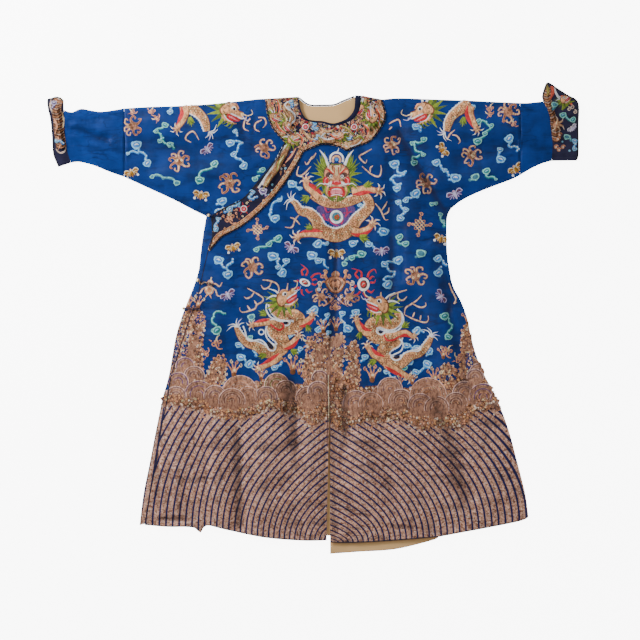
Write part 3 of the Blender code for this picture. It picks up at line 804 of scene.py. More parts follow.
def skirt_silk(name):
    """Blue silk above, couched wave stripes below."""
    n = Nodes(name, 0.45, 0.0, 0.04)
    blue = n.mix(n.spread(n.noise(14.0, 3.0), 0.3, 0.75), BLUE, BLUE_DEEP)
    colour, rise, dark = couched_colour(n, n.given("phase"), n.given("wide"))
    share = n.spread(n.given("striped"), 0.45, 0.55)
    # Wrinkles with painted shade in a near-black navy.
    value, height = creased(n, n.mix(share, blue, colour), srgb(10, 14, 34), 0.4)
    n.color(value)
    n.link(
        n.math("MULTIPLY", share, n.math("SUBTRACT", 0.32, n.math("MULTIPLY", dark, 0.32))),
        n.shader.inputs["Metallic"]
    )
    twill = n.wave(420.0, n.stretch(1, 1, 1, 0.6))
    flat = n.math("ADD", n.math("MULTIPLY", twill, 0.2), n.math("MULTIPLY", n.noise(900.0, 2.0), 0.3))
    flat = n.math("ADD", flat, n.math("MULTIPLY", height, 9.0))
    n.bump(n.math("ADD", n.math("MULTIPLY", share, rise), flat), 0.55, 0.0009)
    return n.material


def lining_silk(name):
    n = Nodes(name, 0.6, 0.0, 0.2)
    stain = n.spread(n.noise(9.0, 3.0), 0.42, 0.7)
    n.color(n.mix(stain, CREAM, srgb(208, 166, 112)))
    n.bump(n.noise(700.0, 3.0), 0.2, 0.0004)
    return n.material


def thread(name, colour, metal=0.0, rough=0.5, tone=0.25, grain=230.0, turn=0.4):
    """Laid embroidery thread: fine ridges across its direction and small changes of tone."""
    n = Nodes(name, rough, metal, 0.02)
    dark = tuple(v * (1 - tone) for v in colour[:3]) + (1.0,)
    light = tuple(min(1.0, v * (1 + tone) + 0.01) for v in colour[:3]) + (1.0,)
    mottle = n.noise(grain, 3.0, 0.75, n.stretch(1.0, 0.5, 1.0, turn))
    n.color(n.mix(n.spread(mottle, 0.36, 0.62), dark, light))
    n.bump(
        n.math("ADD", mottle, n.math("MULTIPLY", n.wave(330.0, n.stretch(1, 1, 1, turn)), 0.5)), 0.5,
        0.0008
    )
    return n.material


silk_blue = skirt_silk("blue_silk")
silk_plain = ground_silk("plain_blue_silk", BLUE, BLUE_DEEP)
silk_navy = ground_silk("navy_silk", srgb(40, 38, 66), srgb(24, 24, 46), wrinkle=2.0)
silk_dark = ground_silk("dark_binding", srgb(26, 30, 60), srgb(14, 16, 36), 0.04, 0.45, 1.0)
silk_lining = lining_silk("cream_lining")

# ---------------------------------------------------------------- cloth pieces


def lattice_points(loop, step, clear=0.5):
    xs = [p[0] for p in loop]
    ys = [p[1] for p in loop]
    rows = np.arange(min(ys) - step, max(ys) + step, step * 0.866)
    found = []
    for number, y in enumerate(rows):
        x = np.arange(min(xs) - step, max(xs) + step, step) + (step / 2 if number % 2 else 0)
        found.append(np.stack([x, np.full(x.shape, y)], 1))
    points = np.concatenate(found)
    points = points[inside(points[:, 0], points[:, 1], loop)]
    near = reach(points[:, 0], points[:, 1], loop + loop[:1], step)
    return points[near > step * clear]


def mesh_of(loop, step, lines=()):
    """Triangles that fill the closed loop: points in mm, faces."""
    points = [tuple(p) for p in loop]
    ties = [(i, (i + 1) % len(loop)) for i in range(len(loop))]
    for line in lines:
        first = len(points)
        points += line
        ties += [(first + i, first + i + 1) for i in range(len(line) - 1)]
    inner = lattice_points(loop, step)
    points += [tuple(p) for p in inner]
    made = delaunay_2d_cdt([Vector((p[0] / 1000, p[1] / 1000)) for p in points], ties, [], 0, 1e-6, False)
    place = np.array([tuple(v) for v in made[0]]) * 1000
    faces = np.array([tuple(f) for f in made[2]])
    middle = place[faces].mean(1)
    faces = faces[inside(middle[:, 0], middle[:, 1], loop)]
    turn = np.cross(place[faces[:, 1]] - place[faces[:, 0]], place[faces[:, 2]] - place[faces[:, 0]])
    faces[turn < 0] = faces[turn < 0][:, ::-1]
    return place, faces


def border(faces):
    """Directed edges that have a face on one side only."""
    ends = np.concatenate([faces[:, [0, 1]], faces[:, [1, 2]], faces[:, [2, 0]]])
    top = faces.max() + 1
    key = ends[:, 0].astype(np.int64) * top + ends[:, 1]
    back = ends[:, 1].astype(np.int64) * top + ends[:, 0]
    return ends[~np.isin(key, back)]


def wall_of(place, faces, top, low):
    """A closed wall of cloth: its points in mm and its faces."""
    count = len(place)
    ends = border(faces)
    around = np.unique(ends)
    slot = np.full(count, -1)
    slot[around] = np.arange(len(around))
    points = np.concatenate(
        [
            np.column_stack([place, top]),
            np.column_stack([place, low]),
            np.column_stack([place[around], top[around]]),
            np.column_stack([place[around], low[around]]),
        ]
    )
    a, b = slot[ends[:, 0]], slot[ends[:, 1]]
    more = len(around)
    base = 2 * count
    sides = np.concatenate(
        [
            np.stack([base + a, base + more + a, base + more + b], 1),
            np.stack([base + a, base + more + b, base + b], 1),
        ]
    )
    return points, np.concatenate([faces, faces[:, ::-1] + count, sides])


def make_object(name, points, faces, materials, slots=None, smooth_shade=True, facts=None):
    mesh = bpy.data.meshes.new(name)
    mesh.vertices.add(len(points))
    mesh.vertices.foreach_set("co", (np.asarray(points, np.float64) * MM).astype(np.float32).ravel())
    mesh.loops.add(faces.size)
    mesh.loops.foreach_set("vertex_index", faces.astype(np.int32).ravel())
    mesh.polygons.add(len(faces))
    mesh.polygons.foreach_set("loop_start", np.arange(0, faces.size, 3, dtype=np.int32))
    mesh.polygons.foreach_set("use_smooth", np.full(len(faces), smooth_shade))
    for item in materials:
        mesh.materials.append(item)
    if slots is not None:
        mesh.polygons.foreach_set("material_index", slots.astype(np.int32))
    for key, values in (facts or {}).items():
        layer = mesh.attributes.new(key, "FLOAT", "POINT")
        layer.data.foreach_set("value", values.astype(np.float32))
    mesh.update(calc_edges=True)
    made = bpy.data.objects.new(name, mesh)
    bpy.context.scene.collection.objects.link(made)
    return made


def flat_wall(loop, step, low, top):
    place, faces = mesh_of(loop, step)
    return wall_of(place, faces, np.full(len(place), float(top)), np.full(len(place), float(low)))


# The upper end of the stripes, under the froth: x, y.
STRIPE_TOP = (
    (-640, -246), (-489, -253), (-450, -266), (-403, -269), (-353, -302), (-305, -302), (-250, -302),
    (-209, -274), (-158, -274), (-94, -298), (-50, -330), (-11, -294), (0, -300), (30, -342), (74, -321),
    (120, -308), (167, -317), (227, -303), (292, -334), (335, -330), (382, -334), (420, -325), (455, -282),
    (506, -266), (640, -262),
)


def stripe_facts(points, name):
    x, y = points[:, 0], points[:, 1]
    top = np.interp(x, [p[0] for p in STRIPE_TOP], [p[1] for p in STRIPE_TOP])
    under = name == "body_right"
    phase = stripe_phase(x, y, under)
    striped = np.clip((top + 14 - y) / 10, 0, 1)
    far = np.clip((x - 470) / 90, 0, 1) * np.clip((y + 560) / 80, 0, 1) * np.clip((-200 - y) / 30, 0, 1)
    return {"phase": phase, "striped": striped, "wide": far * 0.05}


CLOTH = (
    # name, outline of the front and of the back, low and top level, under the overlap, material, lattice
    ("body_right", body_right_front, body_right_back, UNDER_LOW, UNDER_TOP, True, silk_blue, 6.0),
    ("body_left", body_left_front, body_left_back, OVER_LOW, OVER_TOP, False, silk_blue, 5.5),
    ("front_overlap", overlap, None, OVER_LOW, OVER_TOP, False, silk_blue, 5.5),
    ("sleeve_right", sleeve_right, sleeve_right, UNDER_LOW, UNDER_TOP, False, silk_plain, 5.0),
    ("sleeve_left", sleeve_left, sleeve_left, OVER_LOW, OVER_TOP, False, silk_plain, 5.0),
    ("cuff_right", cuff_right, cuff_right, UNDER_LOW, UNDER_TOP, False, silk_navy, 5.0),
    ("cuff_left", cuff_left, cuff_left, OVER_LOW, OVER_TOP, False, silk_navy, 5.0),
    ("collar_right", collar_right, None, OVER_LOW, OVER_TOP, False, silk_navy, 5.0),
    ("collar_left", collar_left, None, BAND_LOW, BAND_TOP, False, silk_navy, 5.0),
    ("overlap_band", overlap_band, None, BAND_LOW, BAND_TOP, False, silk_navy, 5.0),
    ("neck_binding_front", neck_binding_front, None, UNDER_LOW, BINDING_TOP, False, silk_dark, 4.0),
)
pieces = {}


def under_strip(line, half, low, top):
    """A seam allowance: a narrow strip of cloth that backs a seam."""
    near = offset(line, [half] * len(line))
    far = offset(line, [-half] * len(line))
    loop = near + far[::-1]
    area = sum(ax * by - bx * ay for (ax, ay), (bx, by) in zip(loop, loop[1:] + loop[:1]))
    return flat_wall(loop if area > 0 else loop[::-1], 20.0, low, top)


ALLOWANCES = {
    "cuff_right": [(right_cuff_seam[1:-1], 4.0, 2.2, 3.4)],
    "cuff_left": [(left_cuff_seam[1:-1], 4.0, 3.6, 4.9)],
    "sleeve_right": [([(-642, 645), (-642, 550), (-642, 451)], 4.0, 2.2, 3.4)],
    "sleeve_left": [([(595, 662), (595, 560), (595, 456)], 4.0, 3.6, 4.9)],
    "body_left": [([(0, 580), (0, 200), (0, SLIT_TOP + 8)], 4.0, 3.6, 4.9)],
}


def loop_area(loop):
    total = 0.0
    for (ax, ay), (bx, by) in zip(loop, loop[1:] + loop[:1]):
        total += ax * by - bx * ay
    return abs(total) / 2 * 1e-6


for name, front, back, low, top, beneath, look, step in CLOTH:
    place, faces = mesh_of(front, step)
    x, y = place[:, 0], place[:, 1]
    lift = (under_loft if beneath else loft)(x, y)
    top_z = top + lift
    low_z = low + lift
    area = loop_area(front)
    if name in sewn:
        drop = edge_drop(x, y)
        top_z -= drop
        low_z -= np.minimum(drop, 2.0)
        edge = np.full(x.shape, 60.0)
        for line in sewn[name]:
            edge = np.minimum(edge, reach(x, y, line, 60))
        low_z = np.where(edge < 0.4, 0.15, low_z)
    if name == "neck_binding_front":
        across = reach(x, y, neck_edge, 30)
        outer = reach(x, y, binding_edge, 30)
        top_z -= 0.9 * np.exp(-((np.minimum(across, outer) / 2.2) ** 2))
    points, tris = wall_of(place, faces, top_z, low_z)
    if back is not None:
        more, more_tris = flat_wall(back, 60.0, 0.0, BACK_TOP)
        tris = np.concatenate([tris, more_tris + len(points)])
        points = np.concatenate([points, more])
        area += loop_area(back)
    for line, half, strip_low, strip_top in ALLOWANCES.get(name, ()):
        more, more_tris = under_strip(line, half, strip_low, strip_top)
        tris = np.concatenate([tris, more_tris + len(points)])
        points = np.concatenate([points, more])
    facts = stripe_facts(points, name) if look is silk_blue else {}
    # Painted shade and highlight of the folds, carried to the material as a point attribute.
    facts["painted_shading"] = shade(points[:, 0], points[:, 1])
    # Painted shadow on the facing deep in the slit.
    if name == "slit_facing":
        facts["painted_shading"] = np.where(points[:, 1] < -385, 2.0, 0.15)
    pieces[name] = make_object(name + "_cloth", points, tris, [look], facts=facts)

for name, loop, low, top, look in (
    ("lining_back", lining, LINING_LOW, LINING_LOW + 1.0, silk_lining),
    ("slit_facing", slit_facing, UNDER_LOW, UNDER_TOP - GAP, silk_lining),
    ("collar_back", collar_back, 0.0, BACK_TOP, silk_navy),
    ("neck_binding_back", neck_binding_back, 0.0, 2.5, silk_dark),
):
    points, tris = flat_wall(loop, 24.0, low, top)
    pieces[name] = make_object(name + "_cloth", points, tris, [look])

# ---------------------------------------------------------------- embroidery
PALETTE = {
    "gold": (srgb(216, 152, 104), 0.2, 0.42),
    "gold_dark": (srgb(116, 70, 42), 0.2, 0.5),
    "gold_light": (srgb(238, 192, 146), 0.2, 0.4),
    "copper": (srgb(198, 134, 98), 0.22, 0.42),
    "brown": (srgb(92, 62, 56), 0.1, 0.55),
    "dusk": (srgb(104, 82, 92), 0.05, 0.55),
    "mauve": (srgb(172, 132, 114), 0.1, 0.5),
    "umber": (srgb(148, 104, 82), 0.15, 0.5),
    "rim": (srgb(206, 164, 150), 0.1, 0.5),
    "russet": (srgb(182, 122, 92), 0.15, 0.48),
    "coral": (srgb(222, 92, 66), 0.0, 0.5),
    "olive": (srgb(150, 130, 60), 0.1, 0.5),
    "white": (srgb(250, 246, 250), 0.0, 0.5),
    "cream": (srgb(230, 204, 170), 0.1, 0.5),
    "red": (srgb(202, 44, 48), 0.0, 0.5),
    "pink": (srgb(236, 130, 138), 0.0, 0.5),
    "magenta": (srgb(186, 44, 92), 0.0, 0.5),
    "green": (srgb(134, 152, 44), 0.0, 0.5),
    "green_dark": (srgb(84, 104, 34), 0.0, 0.5),
    "sky": (srgb(142, 204, 250), 0.0, 0.5),
    "azure": (srgb(62, 134, 210), 0.0, 0.5),
    "teal": (srgb(38, 128, 130), 0.0, 0.5),
    "mint": (srgb(140, 208, 196), 0.0, 0.5),
    "lilac": (srgb(200, 188, 224), 0.0, 0.5),
    "violet": (srgb(88, 62, 122), 0.0, 0.55),
    "ochre": (srgb(168, 116, 40), 0.15, 0.45),
    "pinkish": (srgb(240, 192, 172), 0.12, 0.45),
    "steel": (srgb(70, 128, 150), 0.0, 0.5),
    "black": (srgb(12, 12, 26), 0.0, 0.5),
    "ink": (srgb(20, 20, 44), 0.0, 0.55),
}
COLOURS = list(PALETTE)
work = {"robe": [], "waves": [], "trim": [], "cuff": []}
CELL = 2.0
RISE_X, RISE_Y = int(1760 / CELL), int(1560 / CELL)
built = {layer: np.zeros((RISE_Y, RISE_X), np.float32) for layer in work}
built["waves"] = built["robe"]


def curve(points, gap=0.8, closed=False):
    """Evenly spaced points on a smooth curve through the given ones."""
    p = np.asarray(points, float)
    if len(p) == 2 and not closed:
        count = max(2, int(np.hypot(*(p[1] - p[0])) / gap) + 1)
        return p[0] + (p[1] - p[0]) * np.linspace(0, 1, count)[:, None]
    if closed:
        ext = np.concatenate([p[-1:], p, p[:2]])
    else:
        ext = np.concatenate([p[:1], p, p[-1:]])
    t = np.linspace(0, 1, 9)[:-1, None]
    out = []
    for i in range(len(ext) - 3):
        a, b, c, d = ext[i : i + 4]
        out.append(
            b
            + 0.5 * t * (c - a)
            + t * t * (a - 2.5 * b + 2 * c - 0.5 * d)
            + t**3 * (1.5 * (b - c) + 0.5 * (d - a))
        )
    out = np.concatenate(out + ([] if closed else [p[-1:]]))
    if closed:
        out = np.concatenate([out, out[:1]])
    seg = np.hypot(*np.diff(out, axis=0).T)
    run = np.concatenate([[0], np.cumsum(seg)])
    count = max(3 if not closed else 7, int(run[-1] / gap) + 1)
    at = np.linspace(0, run[-1], count)
    made = np.stack([np.interp(at, run, out[:, 0]), np.interp(at, run, out[:, 1])], 1)
    return made[:-1] if closed else made


def normals(line):
    d = np.gradient(line, axis=0)
    size = np.maximum(np.hypot(d[:, 0], d[:, 1]), 1e-9)
    return np.stack([-d[:, 1] / size, d[:, 0] / size], 1)


def fan_faces(n):
    """Faces of two rings of n points and their middle."""
    a = np.arange(n)
    b = (a + 1) % n
    inner = np.stack([a + n, b + n, np.full(n, 2 * n)], 1)
    return np.concatenate([np.stack([a, b, b + n], 1), np.stack([a, b + n, a + n], 1), inner])


class Stamp:
    """A drawing frame: local units of 3.125 mm, y towards the neck, each stroke laid over the last."""

    def __init__(self, layer, x=0.0, y=0.0, size=1.0, turn=0.0, flip=False):
        self.layer, self.x, self.y, self.size = layer, x, y, size
        self.turn, self.flip = math.radians(turn), flip

    def put(self, local, dz, faces, colour):
        local = np.asarray(local, float)
        faces = np.asarray(faces, int)
        u = local[:, 0] * (-1 if self.flip else 1)
        v = local[:, 1]
        c, s = math.cos(self.turn), math.sin(self.turn)
        x = self.x + (u * c - v * s) * self.size * UNIT
        y = self.y + (u * s + v * c) * self.size * UNIT
        if self.flip:
            faces = faces[:, ::-1]
        rise = built[self.layer]
        i = np.clip(((x - FIELD_LEFT) / CELL).astype(int), 1, RISE_X - 2)
        j = np.clip(((y - FIELD_FOOT) / CELL).astype(int), 1, RISE_Y - 2)
        below = np.maximum.reduce(
            [rise[j, i], rise[j + 1, i], rise[j - 1, i], rise[j, i + 1], rise[j, i - 1]]
        )
        fresh = below + 0.08 + np.asarray(dz, float) * np.clip(1 - below / 1.6, 0.3, 1)
        at = fresh[faces].mean(1)
        mi = np.clip(((x[faces].mean(1) - FIELD_LEFT) / CELL).astype(int), 1, RISE_X - 2)
        mj = np.clip(((y[faces].mean(1) - FIELD_FOOT) / CELL).astype(int), 1, RISE_Y - 2)
        np.maximum.at(rise, (mj, mi), at)
        np.maximum.at(rise, (j, i), fresh)
        work[self.layer].append((x, y, fresh, faces, COLOURS.index(colour)))

    def line(self, points, width, colour, dome=0.5, taper=(1.0, 1.0), gap=1.0, raw=False):
        """A laid stroke: width in units, or a list of widths along it."""
        path = np.asarray(points, float) if raw else curve(points, gap / max(self.size, 0.3))
        n = len(path)
        along = np.linspace(0, 1, n)
        if hasattr(width, "__len__"):
            wide = np.interp(along, np.linspace(0, 1, len(width)), width)
        else:
            wide = np.full(n, float(width))
        wide = wide * np.minimum(1, taper[0] + (1 - taper[0]) * along / 0.3)
        wide = wide * np.minimum(1, taper[1] + (1 - taper[1]) * (1 - along) / 0.3)
        side = normals(path)
        spans = (-0.5, 0.0, 0.5) if wide.max() * self.size < 2.2 else (-0.5, -0.28, 0.0, 0.28, 0.5)
        rows = [path + side * (wide * s)[:, None] for s in spans]
        top = min(1.0, wide.max() * self.size * 0.45) * dome
        dz = [np.full(n, top * (1 - (abs(s) * 2) ** 2)) for s in spans]
        k = len(spans)
        local = np.stack(rows, 1).reshape(-1, 2)
        z = np.stack(dz, 1).reshape(-1)
        i = np.arange(n - 1)[:, None] * k + np.arange(k - 1)[None, :]
        i = i.ravel()
        faces = np.concatenate([np.stack([i, i + k + 1, i + 1], 1), np.stack([i, i + k, i + k + 1], 1)])
        self.put(local, z, faces, colour)
        return path

    def blob(self, points, colour, dome=0.5, gap=0.9):
        """A filled closed shape that swells to its middle."""
        ring = curve(points, gap / max(self.size, 0.3), closed=True)
        area = 0.5 * np.sum(ring[:, 0] * np.roll(ring[:, 1], -1) - np.roll(ring[:, 0], -1) * ring[:, 1])
        if area < 0:
            ring = ring[::-1]
        middle = ring.mean(0)
        n = len(ring)
        inner = middle + (ring - middle) * 0.62
        local = np.concatenate([ring, inner, middle[None]])
        top = min(1.0, math.sqrt(abs(area)) * self.size * 0.22) * dome
        z = np.concatenate([np.zeros(n), np.full(n, 0.85 * top), [0.9 * top]])
        self.put(local, z, fan_faces(n), colour)

    def disc(self, x, y, r, colour, dome=0.5, stretch=1.0, turn=0.0):
        n = int(np.clip(r * self.size * 5, 7, 26))
        t = np.arange(n) * 2 * math.pi / n
        c, s = math.cos(turn), math.sin(turn)
        u, v = r * np.cos(t), r * stretch * np.sin(t)
        ring = np.stack([x + u * c - v * s, y + u * s + v * c], 1)
        local = np.concatenate([ring, [x, y] + (ring - [x, y]) * 0.6, [[x, y]]])
        top = min(1.0, r * self.size * 0.4) * dome
        z = np.concatenate([np.zeros(n), np.full(n, 0.85 * top), [0.9 * top]])
        self.put(local, z, fan_faces(n), colour)

    def ring(self, x, y, r, width, colour, start=0.0, end=360.0, dome=0.4, stretch=1.0):
        n = max(6, int(abs(end - start) / 360 * np.clip(r * self.size * 6, 10, 40)))
        t = np.radians(np.linspace(start, end, n))
        self.line(
            np.stack([x + r * np.cos(t), y + r * stretch * np.sin(t)], 1), width, colour, dome, raw=True
        )

    def spiral(self, x, y, r, turns, width, colour, start=0.0, sense=1, tail=None):
        n = max(8, int(turns * 11))
        t = np.linspace(0, 1, n)
        a = math.radians(start) + sense * t * turns * 2 * math.pi
        rr = r * (0.18 + 0.82 * t)
        path = np.stack([x + rr * np.cos(a), y + rr * np.sin(a)], 1)
        if tail is not None:
            path = np.concatenate([path, curve([path[-1], *tail], 0.8)[1:]])
        self.line(path, width, colour, raw=True)


def sided(side, *points):
    """Local points, mirrored where side is -1."""
    return [(side * x, y) for x, y in points]


def hook(s, points, width=1.5, colour="copper", shine="cream"):
    """A flame scroll: a copper stroke with a light core."""
    s.line(points, width, colour, taper=(0.6, 0.4))
    s.line(points, width * 0.38, shine, taper=(0.5, 0.2))


def tuft(s, x, y, angle, size=8.0, count=5, spread=60, colours=("green", "green_dark")):
    """Hair or fin: tapered strokes fanned from one root."""
    for k in range(count):
        a = math.radians(angle + spread * (k / (count - 1) - 0.5))
        bend = 0.25 * (k - (count - 1) / 2) / count
        length = size * (1 - 0.25 * abs(k / (count - 1) - 0.5) * 2)
        mid = (x + 0.55 * length * math.cos(a), y + 0.55 * length * math.sin(a))
        end = (x + length * math.cos(a + bend), y + length * math.sin(a + bend))
        s.line([(x, y), mid, end], [2.0 * size / 8, 2.2 * size / 8, 0.3], colours[k % 2])


def claw(s, x, y, angle, size=5.0, skin="copper", talon="white"):
    """A paw with five fingers and small pale talons."""
    s.disc(x, y, size * 0.42, skin)
    for a in (-100, -50, -10, 30, 78):
        t = math.radians(angle + a)
        long = size * (1.0 if abs(a) < 60 else 0.8)
        mid = (x + 0.8 * long * math.cos(t), y + 0.8 * long * math.sin(t))
        t2 = t + (0.35 if a > 0 else -0.35)
        end = (x + 1.2 * long * math.cos(t2), y + 1.2 * long * math.sin(t2))
        s.line([(x, y), mid], [size * 0.34, size * 0.24], skin)
        s.line([(x, y), mid], [size * 0.1, size * 0.08], "gold_light")
        s.line([mid, end], [size * 0.19, 0.25], talon)


def leg(s, points, width, skin="gold", inner="red"):
    s.line(points, [width * 1.25, width * 1.1, width * 0.7], "gold_dark", dome=0.4)
    s.line(points, [width * 1.05, width * 0.9, width * 0.55], skin, dome=0.9)
    path = curve(points, 1.0)
    side = normals(path)
    s.line(
        path - side * width * 0.32, [width * 0.42, width * 0.5, width * 0.12], inner, raw=True,
        taper=(0.3, 0.1)
    )
    for k in range(1, len(path) - 1, 2):
        if k % 4 == 1:
            s.disc(
                path[k][0] + side[k][0] * width * 0.15, path[k][1] + side[k][1] * width * 0.15, 0.55,
                "gold_light", 0.8
            )


def scaled_body(s, points, widths, ridge=1, belly=True, scale=2.5):
    """A dragon's body: dark edge, gold ground, rows of scales, pale belly and a white ridge with spines."""
    path = curve(points, 0.9)
    n = len(path)
    wide = np.interp(np.linspace(0, 1, n), np.linspace(0, 1, len(widths)), widths)
    s.line(path, wide + 0.9, "gold_dark", dome=0.3, raw=True)
    s.line(path, wide, "gold", dome=1.0, raw=True)
    side = normals(path)
    run = np.concatenate([[0], np.cumsum(np.hypot(*np.diff(path, axis=0).T))])
    row = 0
    at = 0.8
    while at < run[-1] - 0.5:
        cx, cy = np.interp(at, run, path[:, 0]), np.interp(at, run, path[:, 1])
        nx, ny = np.interp(at, run, side[:, 0]), np.interp(at, run, side[:, 1])
        w = np.interp(at, run, wide)
        count = max(1, int((w - 1.0) / (scale * 1.05)))
        for k in range(count):
            o = (k - (count - 1) / 2 + (0.5 if row % 2 else 0)) * scale * 1.05
            if abs(o) > w / 2 - 0.9:
                continue
            x, y = cx + nx * o, cy + ny * o
            a = math.atan2(-nx, ny)
            s.disc(x, y, scale * 0.52, ("gold_dark", "brown")[(row * 7 + k * 3) % 5 == 0], 0.2, 0.85, a)
            s.disc(
                x + 0.3 * math.cos(a), y + 0.3 * math.sin(a), scale * 0.37,
                random.choice(("gold", "gold_light", "gold", "copper")), 0.9, 0.9, a
            )
        at += scale * 0.86
        row += 1
    if belly:
        for k in range(0, n - 1, 2):
            o = -ridge * (wide[k] / 2 - 0.7)
            q = path[k] + side[k] * o
            s.line([q - side[k] * 0.9, q + side[k] * 0.9], 0.45, "gold_light", 0.4)
        s.line(path - side * (ridge * (wide / 2 + 0.1))[:, None], 0.5, "gold_dark", raw=True)
    edge = path + side * (ridge * (wide / 2 + 0.35))[:, None]
    s.line(edge, 1.25, "white", 0.9, raw=True)
    for k in range(3, n - 3, 4):
        tip = edge[k] + side[k] * ridge * 1.5 + (path[k - 1] - path[k]) * 0.8
        s.line([edge[k], tip], [0.9, 0.15], "white")
    return path


def tail_fan(s, x, y, angle, size=9.0):
    """White tail blades."""
    for k, (a, l) in enumerate(((-62, 0.7), (-30, 0.85), (0, 0.8), (32, 0.95), (60, 1.1))):
        t = math.radians(angle + a)
        bend = 0.45 if a > 0 else -0.35
        mid = (x + 0.5 * l * size * math.cos(t), y + 0.5 * l * size * math.sin(t))
        end = (x + l * size * math.cos(t + bend), y + l * size * math.sin(t + bend))
        s.line([(x, y), mid, end], [1.3, 1.1, 0.25], "white" if k != 1 else "lilac")


def face_front(s):
    """A dragon's head seen from the front, about 26 units wide."""
    greens = ("green", "green_dark")
    for side in (-1, 1):
        for k, (x0, y0, x1, y1, x2, y2) in enumerate((
            (9, 8, 14, 14, 17, 23), (10, 5, 17, 10, 23, 15), (11, 2, 18, 4, 26, 5),
            (11, -1, 18, -2, 25, -5),
            (10, -4, 16, -7, 21, -12), (8, 11, 11, 18, 12, 26), (12, 0, 17, 7, 21, 10),
            (11, -3, 17, -5, 22, -8),
            (10, 9, 13, 17, 15, 24), (10, 7, 16, 12, 20, 19),
        )):
            s.line(sided(side, (x0, y0), (x1, y1), (x2, y2)), [4.0, 3.0, 0.3], greens[k % 2])
            s.line(
                sided(side, (x0, y0 + 0.5), (x1, y1 + 0.4), (x2, y2)), [0.9, 0.8, 0.2],
                greens[(k + 1) % 2]
            )
        s.line(sided(side, (6.5, 9), (9.5, 16), (11.5, 21), (17, 28)), [3.4, 2.6, 2.2, 0.6], "white", 0.9)
    s.blob(
        [(-14, -2), (-14, -12), (-9, -20), (-3, -23.6), (3, -23.6), (9, -20), (14, -12), (14, -2), (0, 2)],
        "green_dark", 0.4
    )
    for k in range(15):
        x = (k - 7) * 1.95
        low = -23.5 + abs(k - 7) * 1.35
        s.line(
            [(x * 0.72, -8), (x * 0.92, -14), (x * 1.12, low)], [2.4, 2.1, 0.3],
            ("green", "green_dark", "green", "gold")[k % 4]
        )
    s.blob(
        [
            (-13, 1), (-12, 9), (-7, 13.6), (0, 14.6), (7, 13.6), (12, 9), (13, 1), (11, -7), (5, -11),
            (-5, -11), (-11, -7)
        ],
        "brown"
    )
    s.blob(
        [
            (-12, 1.6), (-11, 8.4), (-6, 12.6), (0, 13.6), (6, 12.6), (11, 8.4), (12, 1.6), (9, -5),
            (4, -9), (-4, -9), (-9, -5)
        ],
        "copper", 0.8
    )
    for k in range(6):
        x = (k - 2.5) * 2.0
        s.line(
            [(x * 0.7, 3), (x * 1.05, 8), (x * 1.1, 13)], [0.4, 1.3, 0.9], ("gold_light", "gold")[k % 2],
            0.8
        )
        s.line(
            [((x + 1) * 0.8, 4), ((x + 1) * 1.1, 8.4), ((x + 1) * 1.1, 12.6)], [0.4, 0.7, 0.5],
            ("brown", "red")[k % 2]
        )
    s.line([(0, 12), (0, 5), (0, -1)], [2.4, 2.8, 3.6], "gold_light", 0.9)
    s.line([(-2.4, 11), (0, 12.4), (2.4, 11)], 1.1, "pinkish")
    for side in (-1, 1):
        s.blob(sided(side, (2.6, 2), (5, 5), (9, 5.4), (11, 2.6), (9, -1), (5, -1.4)), "brown")
        s.line(sided(side, (2.6, 3.6), (6, 6.4), (9.4, 8.8), (11.6, 8)), [1.0, 2.0, 1.6, 0.5], "red")
        s.line(sided(side, (3, 5), (6, 8.2), (8.4, 11)), [0.8, 1.2, 0.4], "gold_light")
        s.disc(side * 5.6, 1.6, 1.6, "white", 0.8)
        s.disc(side * 5.4, 1.6, 0.95, "ink", 0.9)
        s.line(sided(side, (3, 0.2), (6, -1.0), (9, 0.6)), 0.7, "gold_light")
        s.blob(sided(side, (8, -2), (10, 1), (13, 0), (13.6, -4), (12, -8), (9, -6)), "red", 0.6)
        s.line(sided(side, (9.4, 0), (11.6, -2), (11.4, -5)), [0.8, 1.2, 0.5], "pink")
        s.line(sided(side, (1, -6.2), (5, -4.8), (9, -6.6), (12.5, -5)), [2.2, 2.6, 2.0, 0.5], "white", 0.9)
        s.line(sided(side, (2, -7.6), (6, -7.4), (9.6, -9.4)), [1.4, 1.6, 0.5], "pinkish", 0.9)
        s.line(sided(side, (12, -6.6), (16, -5.6), (20, -8.4)), [1.0, 0.9, 0.3], "white")
        s.line(sided(side, (9, -9), (10, -14), (8, -19)), [2.0, 2.0, 0.5], "gold")
    s.blob([(-4, -3.4), (0, -1.6), (4, -3.4), (4.4, -6.4), (0, -7.2), (-4.4, -6.4)], "red", 0.9)
    s.line([(-2.8, -4.2), (0, -3.2), (2.8, -4.2)], 1.2, "pink")
    s.blob(
        [
            (-7.4, -11), (-4, -9.2), (4, -9.2), (7.4, -11), (8.6, -16), (6, -19), (0, -17.6), (-6, -19),
            (-8.6, -16)
        ],
        "red", 0.8
    )
    s.blob(
        [
            (-5.4, -12.4), (-2, -11.4), (2, -11.4), (5.4, -12.4), (6, -15.4), (3.6, -16.6), (0, -15.4),
            (-3.6, -16.6), (-6, -15.4)
        ],
        "pink", 0.8
    )
    s.line([(-4.6, -11.8), (0, -11.0), (4.6, -11.8)], 0.8, "white")
    s.line([(-5.6, -18), (0, -16.6), (5.6, -18)], 0.9, "white")
    s.ring(0, 18.6, 6.6, 2.0, "white", -25, 205, 0.9)
    s.ring(0, 18, 3.8, 2.2, "copper", -40, 220)
    s.ring(0, 18, 3.8, 0.7, "gold_light", -40, 220)
    s.line([(0, 24.6), (1.4, 27), (2.4, 30)], [1.6, 1.1, 0.2], "white")
    s.disc(0, 18.4, 1.9, "azure")
    s.line([(-5.6, 14.4), (0, 13), (5.6, 14.4)], 1.1, "green_dark")


